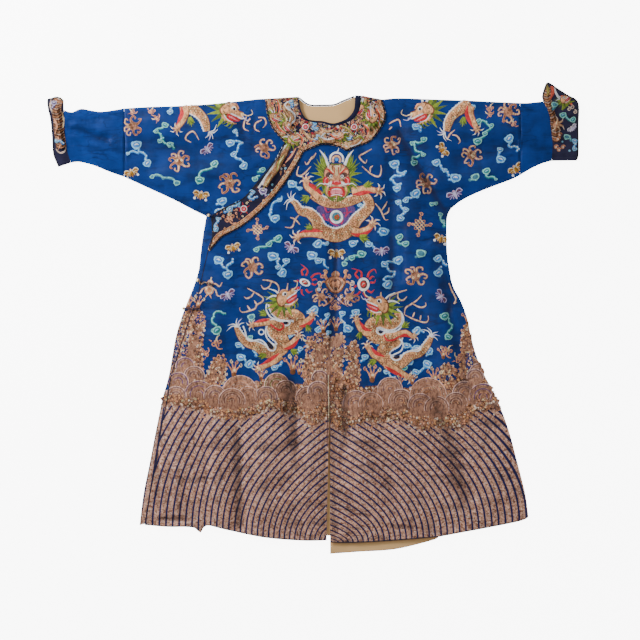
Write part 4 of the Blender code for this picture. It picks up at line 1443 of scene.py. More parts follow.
def face_side(s):
    """A dragon's head in profile, looking to local +x, about 24 units long."""
    for k, (x1, y1, x2, y2) in enumerate((
        (-9, 6, -16, 12), (-10, 3, -19, 6), (-10, 0, -19, 0), (-9, -3, -17, -6), (-7, -6, -12, -12),
        (-3, -8, -5, -15),
        (2, -9, 2, -16), (-6, 8, -11, 15),
    )):
        s.line([(0, 0), (x1 * 0.8, y1 * 0.8), (x2, y2)], [4.0, 3.2, 0.3], ("green", "green_dark")[k % 2])
    s.line([(-2, 6), (-8, 9), (-15, 8)], [2.2, 1.8, 0.5], "white", 0.9)
    s.line([(-1, 8), (-4, 13), (-9, 17)], [2.0, 1.5, 0.4], "white", 0.9)
    s.blob(
        [
            (-6, 4), (-3, 9), (4, 10), (8, 8), (12, 9), (15, 6), (14, 2), (8, 1), (4, -1), (-2, -4),
            (-6, -2)
        ],
        "gold_dark"
    )
    s.blob(
        [
            (-5, 3.5), (-2, 8), (4, 9), (8, 7), (12, 8), (14, 5.6), (12.6, 2.6), (7, 2), (3, 0), (-2, -3),
            (-5, -1)
        ],
        "gold", 0.8
    )
    s.line([(-1, 8.4), (3, 10.4), (7, 9)], [1.2, 1.8, 0.8], "copper", 0.9)
    s.disc(3.4, 6.2, 2.2, "white", 0.8)
    s.disc(3.9, 6.2, 1.25, "ink", 0.9)
    s.disc(12.4, 7.0, 1.5, "gold_light", 0.9)
    s.line([(4, 1.4), (9, 2.6), (14, 3.6), (17, 6.4)], [1.2, 1.5, 1.3, 0.4], "white", 0.9)
    s.blob([(2, -0.6), (7, 1.4), (12, 2.4), (14, 0.8), (10, -2.6), (5, -4.4)], "red", 0.6)
    s.line([(4, -1.4), (8, -0.6), (13, 0.2)], [1.3, 1.5, 0.3], "pink")
    s.line([(-1, -4), (4, -6), (9, -5), (13.5, -2.4)], [2.6, 2.8, 2.2, 0.9], "gold", 0.9)
    s.line([(0, -3), (5, -4.6), (10, -3.4)], [0.8, 0.9, 0.5], "white")
    for k in range(4):
        s.line(
            [(2 + 3 * k, -6.4 + 0.7 * k), (1.6 + 3.2 * k, -9), (0 + 3 * k, -11.4 + k * 0.6)],
            [2.0, 1.4, 0.2], ("green", "green_dark")[k % 2]
        )
    s.line([(13, 7.6), (17, 9), (19, 13), (16, 15)], [0.9, 0.9, 0.8, 0.3], "gold_light")
    s.line([(13, 6), (18, 5), (21, 8)], [0.8, 0.8, 0.3], "lilac")


SHADES = {
    "pale": ("azure", "sky", "white"),
    "teal": ("teal", "mint", "sky"),
    "mist": ("steel", "mint", "steel"),
    "lilac": ("violet", "lilac", "white"),
}


def cloud(s, kind, nodes):
    """A chain of cloud curls: x, y and, where it curls, the radius of each node."""
    deep, mid, light = SHADES[kind]
    path = [(node[0], node[1]) for node in nodes]
    if len(nodes) == 1:
        a = random.uniform(3.4, 6.0)
        path.append((path[0][0] + 7 * math.cos(a), path[0][1] + 5 * math.sin(a)))
    wavy = [path[0]]
    for k, (p, q) in enumerate(zip(path, path[1:])):
        dx, dy = q[0] - p[0], q[1] - p[1]
        sway = (0.16, -0.2)[k % 2]
        wavy.append((p[0] + dx * 0.5 - dy * sway, p[1] + dy * 0.5 + dx * sway))
        wavy.append(q)
    s.line(wavy, [2.2, 2.8, 2.4, 3.0, 1.2], deep)
    for k, (x, y) in enumerate(wavy[1:]):
        s.disc(x, y, random.uniform(1.3, 1.9), deep)
    s.line([(x - 0.3, y + 0.4) for x, y in wavy], [0.9, 1.1, 0.8, 1.1, 0.5], mid)
    for k, (x, y) in enumerate(wavy[1:]):
        s.disc(x + 0.3, y + 0.4, random.uniform(0.5, 0.8), light)
    for k, node in enumerate(nodes):
        if len(node) < 3:
            continue
        x, y, r = node
        r *= 0.92
        turn = random.uniform(-0.5, 0.9)
        c, q = math.cos(turn), math.sin(turn)
        for a in (0.5, 2.6, 4.4):
            lx, ly = x + r * 0.78 * math.cos(a + turn), y + r * 0.6 * math.sin(a + turn)
            s.disc(lx, ly, r * 0.46, deep)
            s.ring(lx, ly, r * 0.34, 0.5, mid)
        s.disc(x, y, r, deep, 0.6, 0.76, turn)
        t = np.linspace(0, 2 * math.pi, 14)
        u, v = r * 0.9 * np.cos(t), r * 0.68 * np.sin(t)
        s.line(np.stack([x + u * c - v * q, y + u * q + v * c], 1), 0.2 * r + 0.25, mid, 0.6, raw=True)
        s.line(
            [
                (x - 0.45 * r * c, y - 0.45 * r * q), (x, y + 0.18 * r),
                (x + 0.45 * r * c, y + 0.45 * r * q)
            ],
            [0.5, 0.36 * r, 0.4], light
        )
        s.disc(x + 0.1 * r, y - 0.3 * r, 0.2 * r, "azure" if kind == "pale" else deep)


def bat(s, body="ochre", wing="ochre", edge="cream"):
    """A bat with spread scalloped wings."""
    for side in (-1, 1):
        s.blob(
            sided(
                side, (1, 0), (3, 4), (7, 5), (9, 1.5), (7, 0), (6.4, -2.6), (4.2, -1.4), (3, -3.6),
                (1, -2)
            ),
            wing, 0.6
        )
        s.line(sided(side, (1, 1), (3, 4), (7, 5), (9, 1.5)), 0.9, edge, 0.7)
        for q in ((6.6, -2.2), (3.2, -3.4), (8.4, 1)):
            s.line([(side * 2.2, 1.4), (side * q[0], q[1])], 0.45, edge)
        s.line(sided(side, (2.4, 2.4), (5, 3.4), (7.4, 1.6)), 0.8, "gold_dark")
    s.blob([(-1.6, 0), (-1, 3.4), (0, 4.6), (1, 3.4), (1.6, 0), (0, -5)], body, 1.0)
    s.disc(0, 4.2, 1.5, edge, 0.9)
    s.disc(-0.6, 4.6, 0.5, "red")
    s.disc(0.6, 4.6, 0.5, "red")


KNOT_ARMS = (
    ((-3, 3), (-6, 6.4), (-9.2, 6.4), (-10.2, 3.6), (-8.0, 2.6)),
    ((1, 4), (1.6, 8), (5.0, 10), (8, 8.2), (6.6, 6.0)),
    ((4, 1), (8, 2.6), (11, 0.4), (10.4, -2.8), (8.2, -1.8)),
    ((2, -4), (4, -8.2), (7.8, -9.2), (9.4, -6.6), (7.2, -5.6)),
    ((-2, -4), (-3, -8.2), (-6.6, -9.8), (-8.8, -7.2), (-6.6, -5.8)),
    ((-4, 0), (-8, -1), (-11, -3.8), (-9, -5.4)),
    ((-1, 4), (-2, 8.4), (-5.2, 10.4), (-6.6, 8.4)),
)


def crab(s, colour="russet", arms=5):
    """A figured knot: a curled heart with hooked arms, a little different each time."""
    for arm in KNOT_ARMS[: arms + 2]:
        path = [(x * random.uniform(0.84, 1.08), y * random.uniform(0.84, 1.08)) for x, y in arm]
        s.line(path, [3.4, 2.2, 1.9, 1.5], colour)
        s.line(path, [1.0, 0.6, 0.5], random.choice(("gold_light", "gold_dark", "pinkish")))
    s.blob([(-4.6, 2), (-1, 4.8), (3, 4), (5, 0.4), (3, -4.2), (-2, -4.8), (-5, -1)], "umber", 0.6)
    for x, y, r in (
        (-2.6, 1.6, 1.5), (0.6, 2.4, 1.5), (2.8, 0.2, 1.4), (0.6, -2.4, 1.6), (-2.6, -1.8, 1.4),
        (0, 0.2, 1.1)
    ):
        s.spiral(
            x, y, r, 1.1, 0.85, random.choice((colour, "gold_light", "gold_dark", colour)),
            random.uniform(0, 360)
        )


def lattice_knot(s):
    """An endless knot: woven cords with a curl at each corner."""
    for k in (-4.2, -1.4, 1.4, 4.2):
        s.line([(-5.6, k), (5.6, k)], 1.25, "copper")
    for k in (-4.2, -1.4, 1.4, 4.2):
        s.line([(k, -5.6), (k, 5.6)], 1.1, "gold_light")
    for x, y in ((1, 1), (-1, 1), (1, -1), (-1, -1)):
        s.line([(x * 4.2, y * 5.6), (x * 6.6, y * 6.6), (x * 5.6, y * 4.2)], 1.0, "copper")
        s.spiral(x * 8.4, y * 7.4, 2.3, 1.2, 1.1, "copper", 45, x * y)
    for x, y in ((1, 0), (-1, 0), (0, 1), (0, -1)):
        s.line(
            [
                (x * 5.6 + y * 1.4, y * 5.6 + x * 1.4), (x * 7.2, y * 7.2),
                (x * 5.6 - y * 1.4, y * 5.6 - x * 1.4)
            ],
            0.9, "copper"
        )


def flask(s):
    """A gourd with ribbons."""
    s.disc(0, -3.4, 3.8, "copper", 1.0)
    s.disc(0, 2.6, 2.4, "copper", 1.0)
    s.line([(0, 4.6), (0.4, 7.2)], 1.0, "gold_light")
    s.ring(0, -3.4, 2.6, 0.7, "cream")
    s.ring(0, 2.6, 1.5, 0.6, "cream")
    for side in (-1, 1):
        hook(s, sided(side, (0, -0.4), (4, 2.4), (7.6, 0.6), (9.4, 4.4)), 1.3)
        hook(s, sided(side, (0, -0.6), (4.8, -2.6), (7, -6.6), (10, -7.0)), 1.3)
        s.line(sided(side, (1, -7), (2.6, -9.8)), [1.4, 0.4], "gold")


def scroll(s, colour="copper"):
    """A pair of small curls."""
    s.spiral(-2.4, 0.4, 2.4, 1.2, 1.1, colour, 0, 1, [(0, -3.4), (3.6, -4.4)])
    s.spiral(2.6, 1.6, 2.0, 1.1, 1.0, colour, 180, -1, [(1.2, -2.2)])
    s.line([(0, 2.4), (1, 5.0), (3.4, 6.2)], [1.4, 1.1, 0.3], "gold_light")
    s.line([(-3.6, 2.6), (-5.6, 4.4)], [1.2, 0.3], colour)


def spray(s, colour="copper"):
    """A little bush of curled twigs over the waves."""
    for k, (x, y) in enumerate(((-5, 7), (-1.6, 9.4), (2, 8.6), (5.4, 6.2))):
        s.line([(0, -3), (x * 0.4, y * 0.4), (x, y)], [2.0, 1.5, 0.7], colour)
        s.spiral(x, y, 1.7, 1.0, 0.9, "gold_light" if k % 2 else colour, 90, 1 if x > 0 else -1)
    s.disc(0, -1.4, 2.0, "gold_dark")
    s.disc(0.4, 2.4, 1.0, "cream")


def emblem(s):
    """The jewel over the mountain: a tall vase form between curled leaves."""
    for side in (-1, 1):
        crab(Stamp(s.layer, s.x + side * 14 * UNIT, s.y - 9 * UNIT, 0.78, 90 + side * 30), arms=6)
        s.line(sided(side, (6, 4), (11, 6), (14.5, 3), (13, -1)), [2.4, 2.0, 1.4, 0.5], "copper")
        s.spiral(side * 15.5, 4.2, 2.6, 1.3, 1.2, "pinkish", 0, side)
        s.line(sided(side, (8, 8), (10, 12), (9, 15.5)), [2.6, 2.8, 1.0], "copper")
        s.spiral(side * 9.5, 15, 2.3, 1.2, 1.1, "gold", 90, -side)
        s.spiral(side * 12.6, 10.6, 2.2, 1.2, 1.1, "copper", 30, side)
        s.line(sided(side, (5, -6), (7, -12), (4, -16)), [2.0, 1.8, 0.5], "gold_dark")
        s.line(sided(side, (2, -9), (5, -13), (9, -16), (12, -18)), [1.8, 1.6, 1.0, 0.3], "copper")
        s.spiral(side * 3.2, -19, 2.2, 1.2, 1.0, "copper", 180, side)
    s.blob(
        [
            (-9, 2), (-9.5, 7), (-5, 10.5), (0, 11.5), (5, 10.5), (9.5, 7), (9, 2), (5, -3.5), (0, -5.5),
            (-5, -3.5)
        ],
        "gold_dark"
    )
    s.blob(
        [
            (-8, 2.4), (-8.4, 6.6), (-4.6, 9.4), (0, 10.4), (4.6, 9.4), (8.4, 6.6), (8, 2.4), (4.4, -2.4),
            (0, -4.2), (-4.4, -2.4)
        ],
        "copper", 0.8
    )
    for k in range(7):
        x = (k - 3) * 2.3
        s.line(
            [(x * 0.6, -2.4 + abs(x) * 0.25), (x, 3), (x * 0.8, 8.6 - abs(x) * 0.25)], 0.8,
            ("pinkish", "gold_dark")[k % 2]
        )
    for x, y in (
        (-5.4, 5.2), (-2.0, 6.8), (2.0, 6.8), (5.4, 5.2), (-3.6, 2.0), (0, 3.2), (3.6, 2.0), (0, -0.8)
    ):
        s.spiral(
            x, y, 1.7, 1.2, 0.8, ("brown", "pinkish", "gold_dark")[int(abs(x * 3 + y)) % 3], x * 60,
            1 if x > 0 else -1
        )
    s.blob([(-3, 11), (-3.6, 14), (0, 16.4), (3.6, 14), (3, 11)], "copper", 0.8)
    s.line([(0, 11), (0, 16)], 0.8, "pinkish")
    for x, y in (
        (0, -8), (-3, -10.5), (3, -10.5), (0, -13), (-5.5, -8), (5.5, -8), (0, -16), (-2.4, -14.6),
        (2.4, -14.6)
    ):
        s.spiral(
            x, y, 1.6, 1.0, 0.8, random.choice(("copper", "pinkish", "gold", "lilac")),
            random.uniform(0, 360)
        )
    s.blob([(-2.6, -18), (0, -15.4), (2.6, -18), (0, -22)], "copper", 0.8)
    for side in (-1, 1):
        s.disc(side * 16, -1.4, 1.6, "sky")
        s.ring(side * 16, -1.4, 1.6, 0.7, "pinkish")


def dome(s, x, y, r, tone="dusk", squash=0.95):
    """A wave seen as nested arches with a light edge."""
    s.disc(x, y, r + 0.5, "umber", 0.1, squash)
    count = max(4, int(r / 1.15))
    for k in range(count):
        rr = r * (1 - (k + 0.5) / count)
        inner = k > count * 0.55
        colour = ((tone, "mauve", "umber", "mauve"), (tone, "mauve", "umber", "copper"))[inner][k % 4]
        s.ring(x, y, max(rr, 0.5), r / count * 0.55, colour, -20, 200, 0.5, squash)
    s.ring(x, y, r + 0.3, 0.8, "rim", -14, 194, 0.9, squash)


FROTH = ("copper", "gold", "copper", "gold", "pinkish", "gold_light", "mauve")


def froth(s, x, y, r):
    s.spiral(x, y, r, 1.1, 0.95, random.choice(FROTH), random.uniform(0, 360), random.choice((-1, 1)))

# ---------------------------------------------------------------- what is drawn where


def near_units(points):
    """Places in mm as drawing units; a radius after them stays as it is."""
    return [(p[0] / UNIT, p[1] / UNIT, *p[2:]) for p in points]


U = near_units
robe = Stamp("robe")
trim = Stamp("trim")
cuffs = Stamp("cuff")
waves = Stamp("waves")


def tip(place, size=1.0, turn=0.0, flip=False, layer="robe"):
    return Stamp(layer, place[0], place[1], size, turn, flip)


# Clouds, read off the photo: kind, then the nodes x, y and the radius in units where the chain curls.
CLOUDS = (
    ("pale", (-498, 644, 3.2), (-495, 656)),
    ("teal", (-514, 603, 3.6), (-536, 591), (-542, 584, 2.6), (-523, 559), (-498, 542, 3.6)),
    ("teal", (-530, 553, 2.6), (-520, 562)),
    ("pale", (-603, 541, 5.4), (-598, 516), (-630, 514, 2.0)),
    ("pale", (-598, 519), (-573, 506), (-569, 484, 4.4)),
    ("mist", (-554, 442, 2.4), (-527, 444), (-509, 438), (-477, 422, 3.4)),
    ("teal", (-359, 482, 4.2), (-385, 463), (-408, 444), (-406, 431, 4.8)),
    ("pale", (-310, 547, 4.6), (-273, 547), (-286, 531), (-299, 512, 3.4), (-280, 496), (-267, 476, 4.4)),
    ("pale", (-335, 365, 5.0)),
    ("pale", (-358, 328), (-348, 339), (-333, 344)),
    ("pale", (-295, 584, 2.6)),
    ("teal", (-209, 463, 3.2), (-223, 456)),
    ("teal", (-233, 434, 3.2), (-220, 444)),
    ("pale", (-117, 419, 4.8), (-105, 412), (-92, 405, 2.4)),
    ("pale", (-148, 381), (-156, 369, 2.6), (-183, 338), (-188, 322), (-170, 311, 5.0)),
    ("teal", (-160, 248, 4.6), (-177, 241), (-188, 231, 3.4), (-211, 222), (-228, 214, 3.2)),
    ("pale", (-55, 196, 5.4), (-45, 188), (-35, 179, 4.0), (-17, 181), (-5, 156)),
    ("pale", (-36, 232, 5.0), (-20, 233), (-8, 233, 2.4)),
    ("pale", (-347, 181, 5.2), (-336, 166), (-322, 156), (-311, 169), (-303, 183)),
    ("pale", (-323, 156), (-317, 136, 5.2)),
    ("pale", (-177, 193, 5.6), (-158, 184), (-161, 169), (-160, 159, 3.0)),
    ("pale", (-135, 178, 3.8), (-145, 162), (-147, 141, 5.0)),
    ("teal", (-323, 14), (-339, 19), (-361, 12), (-367, -3), (-355, -22), (-352, -39, 5.4)),
    ("mist", (-244, 3, 4.0)),
    ("teal", (-247, -60, 2.6)),
    ("pale", (-284, -84, 3.6), (-270, -94)),
    ("pale", (-233, -102, 2.6)),
    ("pale", (-277, -123, 4.6), (-264, -131), (-250, -144, 4.8), (-236, -138)),
    ("pale", (-172, -155, 3.6), (-161, -150), (-150, -139)),
    ("pale", (-91, -96, 2.8)),
    ("pale", (-145, -59), (-133, -61), (-122, -55, 2.2)),
    ("pale", (-49, 24, 5.4)),
    ("pale", (-6, 9, 3.0), (-14, -6), (-20, -16), (-32, -36, 4.4)),
    ("pale", (-2, -45, 2.6)),
    ("pale", (40, 14, 3.4), (36, 3), (43, -12), (48, -22), (57, -33, 5.0)),
    ("pale", (82, 18, 4.2)),
    ("pale", (95, 353, 2.6)),
    ("pale", (73, 233, 4.2), (86, 239)),
    ("pale", (122, 231, 4.0)),
    ("pale", (169, 270, 5.4), (152, 269)),
    ("teal", (100, 200, 4.6), (86, 194), (70, 188, 3.4)),
    ("mist", (47, 169, 3.0), (55, 184)),
    (
        "pale", (215, 181, 5.2), (195, 175), (172, 168, 3.8), (183, 153), (203, 144), (195, 128),
        (169, 120), (183, 105, 5.2)
    ),
    ("pale", (339, 186, 4.4), (355, 178), (364, 166)),
    ("pale", (341, 141, 4.8), (348, 159)),
    ("teal", (360, 6, 4.8), (373, -3), (383, -22), (373, -41), (371, -59, 4.0)),
    (
        "pale", (203, 481, 5.4), (213, 456), (238, 458), (220, 444), (192, 433), (202, 422), (222, 419),
        (211, 405, 4.2)
    ),
    ("pale", (270, 389, 5.4), (255, 375), (239, 369, 3.4)),
    ("pale", (215, 362, 3.2), (223, 350), (238, 339, 3.2), (230, 325), (221, 312, 4.0)),
    ("teal", (295, 558, 3.4), (277, 547), (259, 546, 2.6), (267, 531), (277, 519), (293, 511, 2.6)),
    ("teal", (283, 509), (261, 503), (265, 485, 3.6)),
    ("pale", (334, 486, 4.4), (348, 475), (360, 462, 2.6), (372, 446)),
    ("pale", (394, 438, 5.6)),
    (
        "teal", (466, 614, 3.6), (489, 612), (506, 601, 2.8), (492, 584), (486, 576, 2.8), (473, 562),
        (463, 552, 4.6)
    ),
    ("pale", (443, 658, 4.4), (427, 656)),
    ("pale", (562, 561, 5.0), (560, 538), (577, 536), (592, 527), (586, 522)),
    ("pale", (533, 526, 3.2), (530, 516), (535, 496, 4.8)),
    ("mist", (456, 441, 4.4)),
    ("teal", (491, 459, 4.2), (489, 444), (505, 441), (520, 434, 1.6)),
    ("teal", (320, 356, 2.6), (333, 358, 2.2)),
    ("teal", (347, 324, 2.4), (347, 312), (355, 302, 2.2), (358, 288)),
    ("teal", (219, 253, 4.0), (214, 238), (223, 231), (238, 232, 3.8)),
    ("mist", (286, 202, 5.2)),
    ("pale", (270, 598, 4.0)),
    ("pale", (289, 609, 2.2)),
    ("pale", (273, -39, 4.6)),
    ("pale", (241, -86, 3.6)),
    ("pale", (273, -93, 3.6)),
    ("pale", (312, -104, 4.4)),
    ("pale", (253, -138, 3.4)),
    ("pale", (305, -143, 4.6), (311, -156), (292, -159), (270, -169, 3.8)),
    ("teal", (234, -156, 3.4)),
    ("pale", (111, -122, 3.6)),
    ("pale", (178, -168, 3.0), (189, -181), (203, -186)),
    ("pale", (145, -84), (158, -84), (168, -89, 2.2)),
    ("teal", (-499, 544, 2.6)),
)
for kind, *nodes in CLOUDS:
    cloud(robe, kind, U(nodes))

for place, size, turn in (
    ((-618, 452), 0.85, 20), ((-402, 382), 0.9, -10), ((-301, 218), 0.85, 15), ((353, 525), 0.85, -60),
    ((583, 464), 0.9, 35), ((348, 246), 0.85, -20), ((22, 199), 0.95, 0),
):
    s = tip(place, size, turn)
    bat(s)
    for x, y in ((-6.6, -3.6), (6.2, -3.8)):
        s.disc(x, y, 1.6, "white", 0.9)

for place, size, turn in (
    ((-380, 525), 0.85, 40), ((-122, 216), 0.9, -35), ((-316, 69), 0.9, 30), ((163, 206), 0.9, 8),
    ((393, 384), 0.95, 25), ((345, 66), 0.85, -60),
):
    bat(tip(place, size, turn), "lilac", "violet", "lilac")

for place, size, turn, arms in (
    ((-470, 491), 1.05, 20, 5), ((-312, 422), 1.12, 0, 5), ((-203, 531), 1.0, 50, 5),
    ((-240, 159), 1.1, 10, 6),
    ((196, 541), 0.95, 80, 5), ((445, 509), 1.0, 30, 5), ((302, 422), 1.05, 60, 5), ((269, 131), 1.1, 0, 6),
    ((-614, 600), 1.0, 90, 5), ((558, 644), 1.05, 45, 5),
):
    crab(tip(place, 0.88 * size, turn), arms=arms)
lattice_knot(tip((-225, 277), 0.85, 50))
lattice_knot(tip((282, 291), 0.95, 40))
flask(tip((-374, 100), 1.25, -8))
for place, size, turn in (
    ((-555, 644), 0.9, 0), ((-539, 625), 0.8, 120), ((-614, 644), 0.8, 60), ((502, 653), 0.9, 0),
    ((502, 638), 0.8, 90),
    ((577, 606), 0.8, 30), ((-352, -81), 1.3, 10), ((-386, -109), 1.0, 120), ((369, -106), 1.2, -10),
    ((405, -128), 1.1, 60),
    ((-62, -75), 1.3, 80), ((77, -96), 1.3, 20),
):
    scroll(tip(place, size, turn))

# Flame scrolls, read off the photo.
HOOKS = (
    ((-433, 549), (-450, 560), (-441, 577), (-424, 582), (-408, 556)),
    ((-259, 629), (-267, 609), (-267, 592), (-252, 584)),
    ((-248, 625), (-258, 609), (-248, 606)),
    ((-223, 626), (-205, 625), (-198, 609), (-208, 594)),
    ((-211, 619), (-230, 609), (-233, 591), (-218, 582)),
    ((-53, 506), (-70, 480), (-77, 489)),
    ((-58, 474), (-83, 448), (-102, 448), (-96, 474)),
    ((-42, 516), (-52, 500), (-64, 494)),
    ((132, 528), (109, 515), (93, 504), (111, 484), (117, 495)),
    ((102, 474), (130, 450), (154, 442), (162, 461), (160, 478)),
    ((128, 456), (128, 469), (136, 476)),
    ((143, 358), (160, 336), (173, 308), (184, 308)),
    ((161, 334), (173, 350), (180, 364)),
    ((167, 322), (183, 331), (186, 345)),
    ((-92, 325), (-107, 308), (-117, 284), (-139, 284)),
    ((-123, 314), (-107, 308), (-92, 291)),
    (
        (-257, 93), (-235, 81), (-213, 67), (-207, 59), (-213, 49), (-227, 41), (-233, 29), (-251, 22),
        (-273, 18), (-281, 28), (-279, 33)
    ),
    ((-235, 81), (-245, 67), (-259, 61), (-267, 67)),
    ((-227, 41), (-235, 55)),
    ((-247, 23), (-257, 39)),
    ((-209, 119), (-186, 116), (-164, 106), (-158, 88), (-164, 75)),
    ((-180, 116), (-189, 97), (-205, 91), (-214, 103)),
    ((-136, 56), (-133, 88), (-130, 109)),
    ((242, 88), (214, 79), (190, 67), (188, 47)),
    ((214, 79), (214, 63), (228, 55), (242, 67)),
    ((288, 71), (273, 55), (258, 45), (238, 31), (234, 9)),
    ((258, 45), (284, 33), (300, 38), (300, 49)),
    ((236, 9), (264, -4), (297, -14), (309, -6), (308, 7)),
    ((260, 3), (266, 18)),
    ((283, -6), (286, 9)),
    ((161, 81), (161, 69), (170, 53)),
    ((383, 572), (398, 569), (408, 553), (402, 544)),
    ((367, 556), (377, 575), (392, 588)),
    ((186, 606), (202, 616), (217, 619), (223, 597)),
    ((195, 597), (186, 588)),
    ((373, 109), (383, 84), (395, 59), (388, 44), (398, 50)),
)
for row in HOOKS:
    hook(robe, U(row), 1.7)

# Pearls: the two between the dragons, with the directions of their red flames.
for place, size, turn, squash in (((-77, 111), 0.95, -24, 0.62), ((106, 105), 1.0, 0, 1.15)):
    s = tip(place, size, turn)
    for path in (
        ((-5, 6), (-8, 10), (-6, 14), (-12, 16)), ((-2, 7), (-2, 12), (-6, 15)),
        ((4, 7), (6, 12), (11, 15), (13, 11)),
        ((6, 5), (9, 8), (11, 7)), ((7, 2), (11, 2), (12, 5)), ((-3, -7), (-6, -10), (-9, -10)),
        ((0, -8), (2, -12), (5, -13)),
        ((4, -6), (8, -8), (11, -5)), ((-7, -1), (-10, -4)),
    ):
        s.line(path, [2.2, 1.7, 0.3], "red")
    s.disc(0, 0, 6.0, "white", 0.5, squash)
    s.disc(0.2, 0, 3.7, "brown", 0.4, squash)
    s.disc(-0.2, 0.2, 2.5, "red", 0.4, squash)
    s.line([(-1.4, -1.2), (0, 1.2), (1.6, 0.4)], [0.6, 1.2, 0.4], "pinkish")

# ---------------------------------------------------------------- the frontal dragon
robe.blob(
    U(((-33, 350), (70, 350), (77, 325), (61, 294), (23, 275), (-14, 288), (-30, 322))), "violet", 0.1
)
for row in (
    ((-14, 347), (-8, 331), (5, 334)), ((52, 347), (55, 331), (42, 328)), ((-2, 312), (8, 297), (27, 288)),
    ((48, 316), (58, 328), (70, 334)), ((-20, 325), (-14, 309), (-2, 303)), ((36, 294), (45, 309)),
):
    robe.line(U(row), [2.0, 1.6, 0.4], "magenta")
scaled_body(
    robe,
    U(
        (
            (-123, 369), (-107, 358), (-89, 334), (-64, 328), (-42, 306), (-25, 276), (18, 258),
            (61, 275), (87, 309), (108, 328), (125, 350), (119, 372), (102, 388)
        )
    ),
    [3.5, 6, 9, 10.5, 12, 13, 13.5, 13, 12, 11, 10, 9, 8],
)
scaled_body(
    robe, U(((108, 384), (70, 367), (22, 358), (-17, 364), (-55, 386))), [8, 9, 9.5, 9, 8], -1, False
)
s = tip((22, 316), 1.0)
s.ring(0, 0, 5.6, 2.4, "white", dome=0.9)
s.disc(0, 0, 4.4, "steel")
s.disc(0.4, -0.6, 3.0, "green_dark")
s.spiral(0, 0, 2.6, 1.2, 1.0, "red")
tail_fan(tip((-114, 369)), 0, 0, 150, 11)
leg(robe, U(((-30, 378), (-52, 400), (-70, 412), (-73, 428))), 9)
tuft(tip((-64, 378)), 0, 0, 205, 10, 5, 70)
claw(tip((-73, 428)), 0, 0, 100, 7.5)
leg(robe, U(((70, 394), (95, 398), (120, 402), (145, 398))), 8.5)
tuft(tip((108, 412)), 0, 0, 20, 10, 5, 50)
claw(tip((152, 398)), 0, 0, -5, 7.5)
leg(robe, U(((-23, 262), (-52, 266), (-80, 262), (-97, 254))), 8)
tuft(tip((-55, 278)), 0, 0, 150, 9, 4, 60)
claw(tip((-98, 253)), 0, 0, 195, 7.5)
leg(robe, U(((70, 272), (95, 267), (120, 278), (133, 292))), 8)
tuft(tip((95, 256)), 0, 0, -25, 11, 5, 60)
claw(tip((133, 294)), 0, 0, 55, 7.5)
face_front(tip((22, 438), 1.0))

# ---------------------------------------------------------------- the two walking dragons
scaled_body(
    robe,
    U(
        (
            (-292, -28), (-278, -56), (-258, -78), (-227, -89), (-198, -106), (-167, -106), (-145, -88),
            (-152, -62), (-175, -44), (-180, -21), (-158, -27), (-127, -33), (-100, -22), (-95, -3),
            (-114, 11), (-142, 7), (-168, 22), (-180, 47)
        )
    ),
    [4, 6.5, 7.5, 8.5, 10.5, 12, 13, 13, 12.5, 10, 10, 12, 12.5, 12, 11, 10, 9, 7],
)
robe.line(
    U(((-195, 47), (-198, 27), (-186, 5), (-167, -4), (-142, -8), (-123, -11), (-130, -23), (-145, -22))),
    1.5, "white", 0.9
)
robe.line(
    U(
        (
            (-194, -22), (-200, -41), (-197, -59), (-185, -75), (-169, -88), (-173, -101), (-189, -99),
            (-202, -78), (-219, -68), (-243, -72), (-257, -66), (-263, -44), (-270, -25)
        )
    ),
    1.5, "white", 0.9
)
robe.blob(U(((-143, -12), (-130, -12), (-134, -20), (-145, -19))), "ink", 0.1)
robe.blob(U(((-197, -77), (-188, -75), (-175, -89), (-178, -97), (-189, -93))), "ink", 0.1)
robe.line(U(((-191, -14), (-170, -31), (-155, -38), (-142, -25), (-152, -14))), [1.4, 2.0, 1.6], "red", 0.6)
robe.ring(*U([(-213, -44)])[0], 2.6, 1.3, "white")
tail_fan(tip((-286, -28)), 0, 0, 115, 11)
leg(robe, U(((-186, -12), (-208, -14), (-230, -20), (-239, -22))), 6.5)
claw(tip((-239, -22)), 0, 0, 190, 6)
tuft(tip((-198, 9)), 0, 0, 150, 9, 5, 60)
leg(robe, U(((-95, -19), (-73, -14), (-58, 0), (-53, 11))), 7.5)
claw(tip((-55, 7)), 0, 0, 60, 6)
tuft(tip((-70, -22)), 0, 0, -70, 9, 4, 50)
leg(robe, U(((-145, -91), (-120, -83), (-105, -66), (-97, -56))), 7)
claw(tip((-98, -58)), 0, 0, 70, 6)
tuft(tip((-120, -100)), 0, 0, -30, 9, 5, 60)
leg(robe, U(((-152, -116), (-177, -134), (-205, -150), (-219, -155))), 7.5)
claw(tip((-219, -155)), 0, 0, 215, 6.5)
tuft(tip((-198, -116)), 0, 0, 190, 9, 5, 50)
face_side(tip((-143, 51), 1.05, 22))

scaled_body(
    robe,
    U(
        (
            (320, -56), (305, -84), (283, -108), (252, -119), (223, -139), (195, -141), (170, -125),
            (169, -100), (189, -84), (208, -75), (210, -56), (183, -62), (148, -61), (128, -41),
            (133, -19), (158, -11), (189, -22), (211, -9), (214, 16)
        )
    ),
    [4, 6.5, 7.5, 8.5, 10.5, 12, 13, 12.5, 12, 10, 9, 10, 12, 13, 12, 11, 10, 9, 7], -1,
)
robe.line(
    U(
        (
            (211, 28), (227, 12), (231, -9), (220, -33), (196, -44), (170, -39), (152, -33), (148, -45),
            (161, -52), (172, -46)
        )
    ),
    1.5, "white", 0.9
)
robe.line(
    U(
        (
            (218, -64), (230, -82), (223, -103), (202, -114), (192, -122), (205, -132), (220, -128),
            (233, -111), (255, -103), (278, -103), (289, -86), (302, -69)
        )
    ),
    1.5, "white", 0.9
)
robe.blob(U(((155, -39), (167, -43), (161, -49), (154, -46))), "ink", 0.1)
robe.blob(U(((200, -122), (214, -116), (220, -122), (208, -128))), "ink", 0.1)
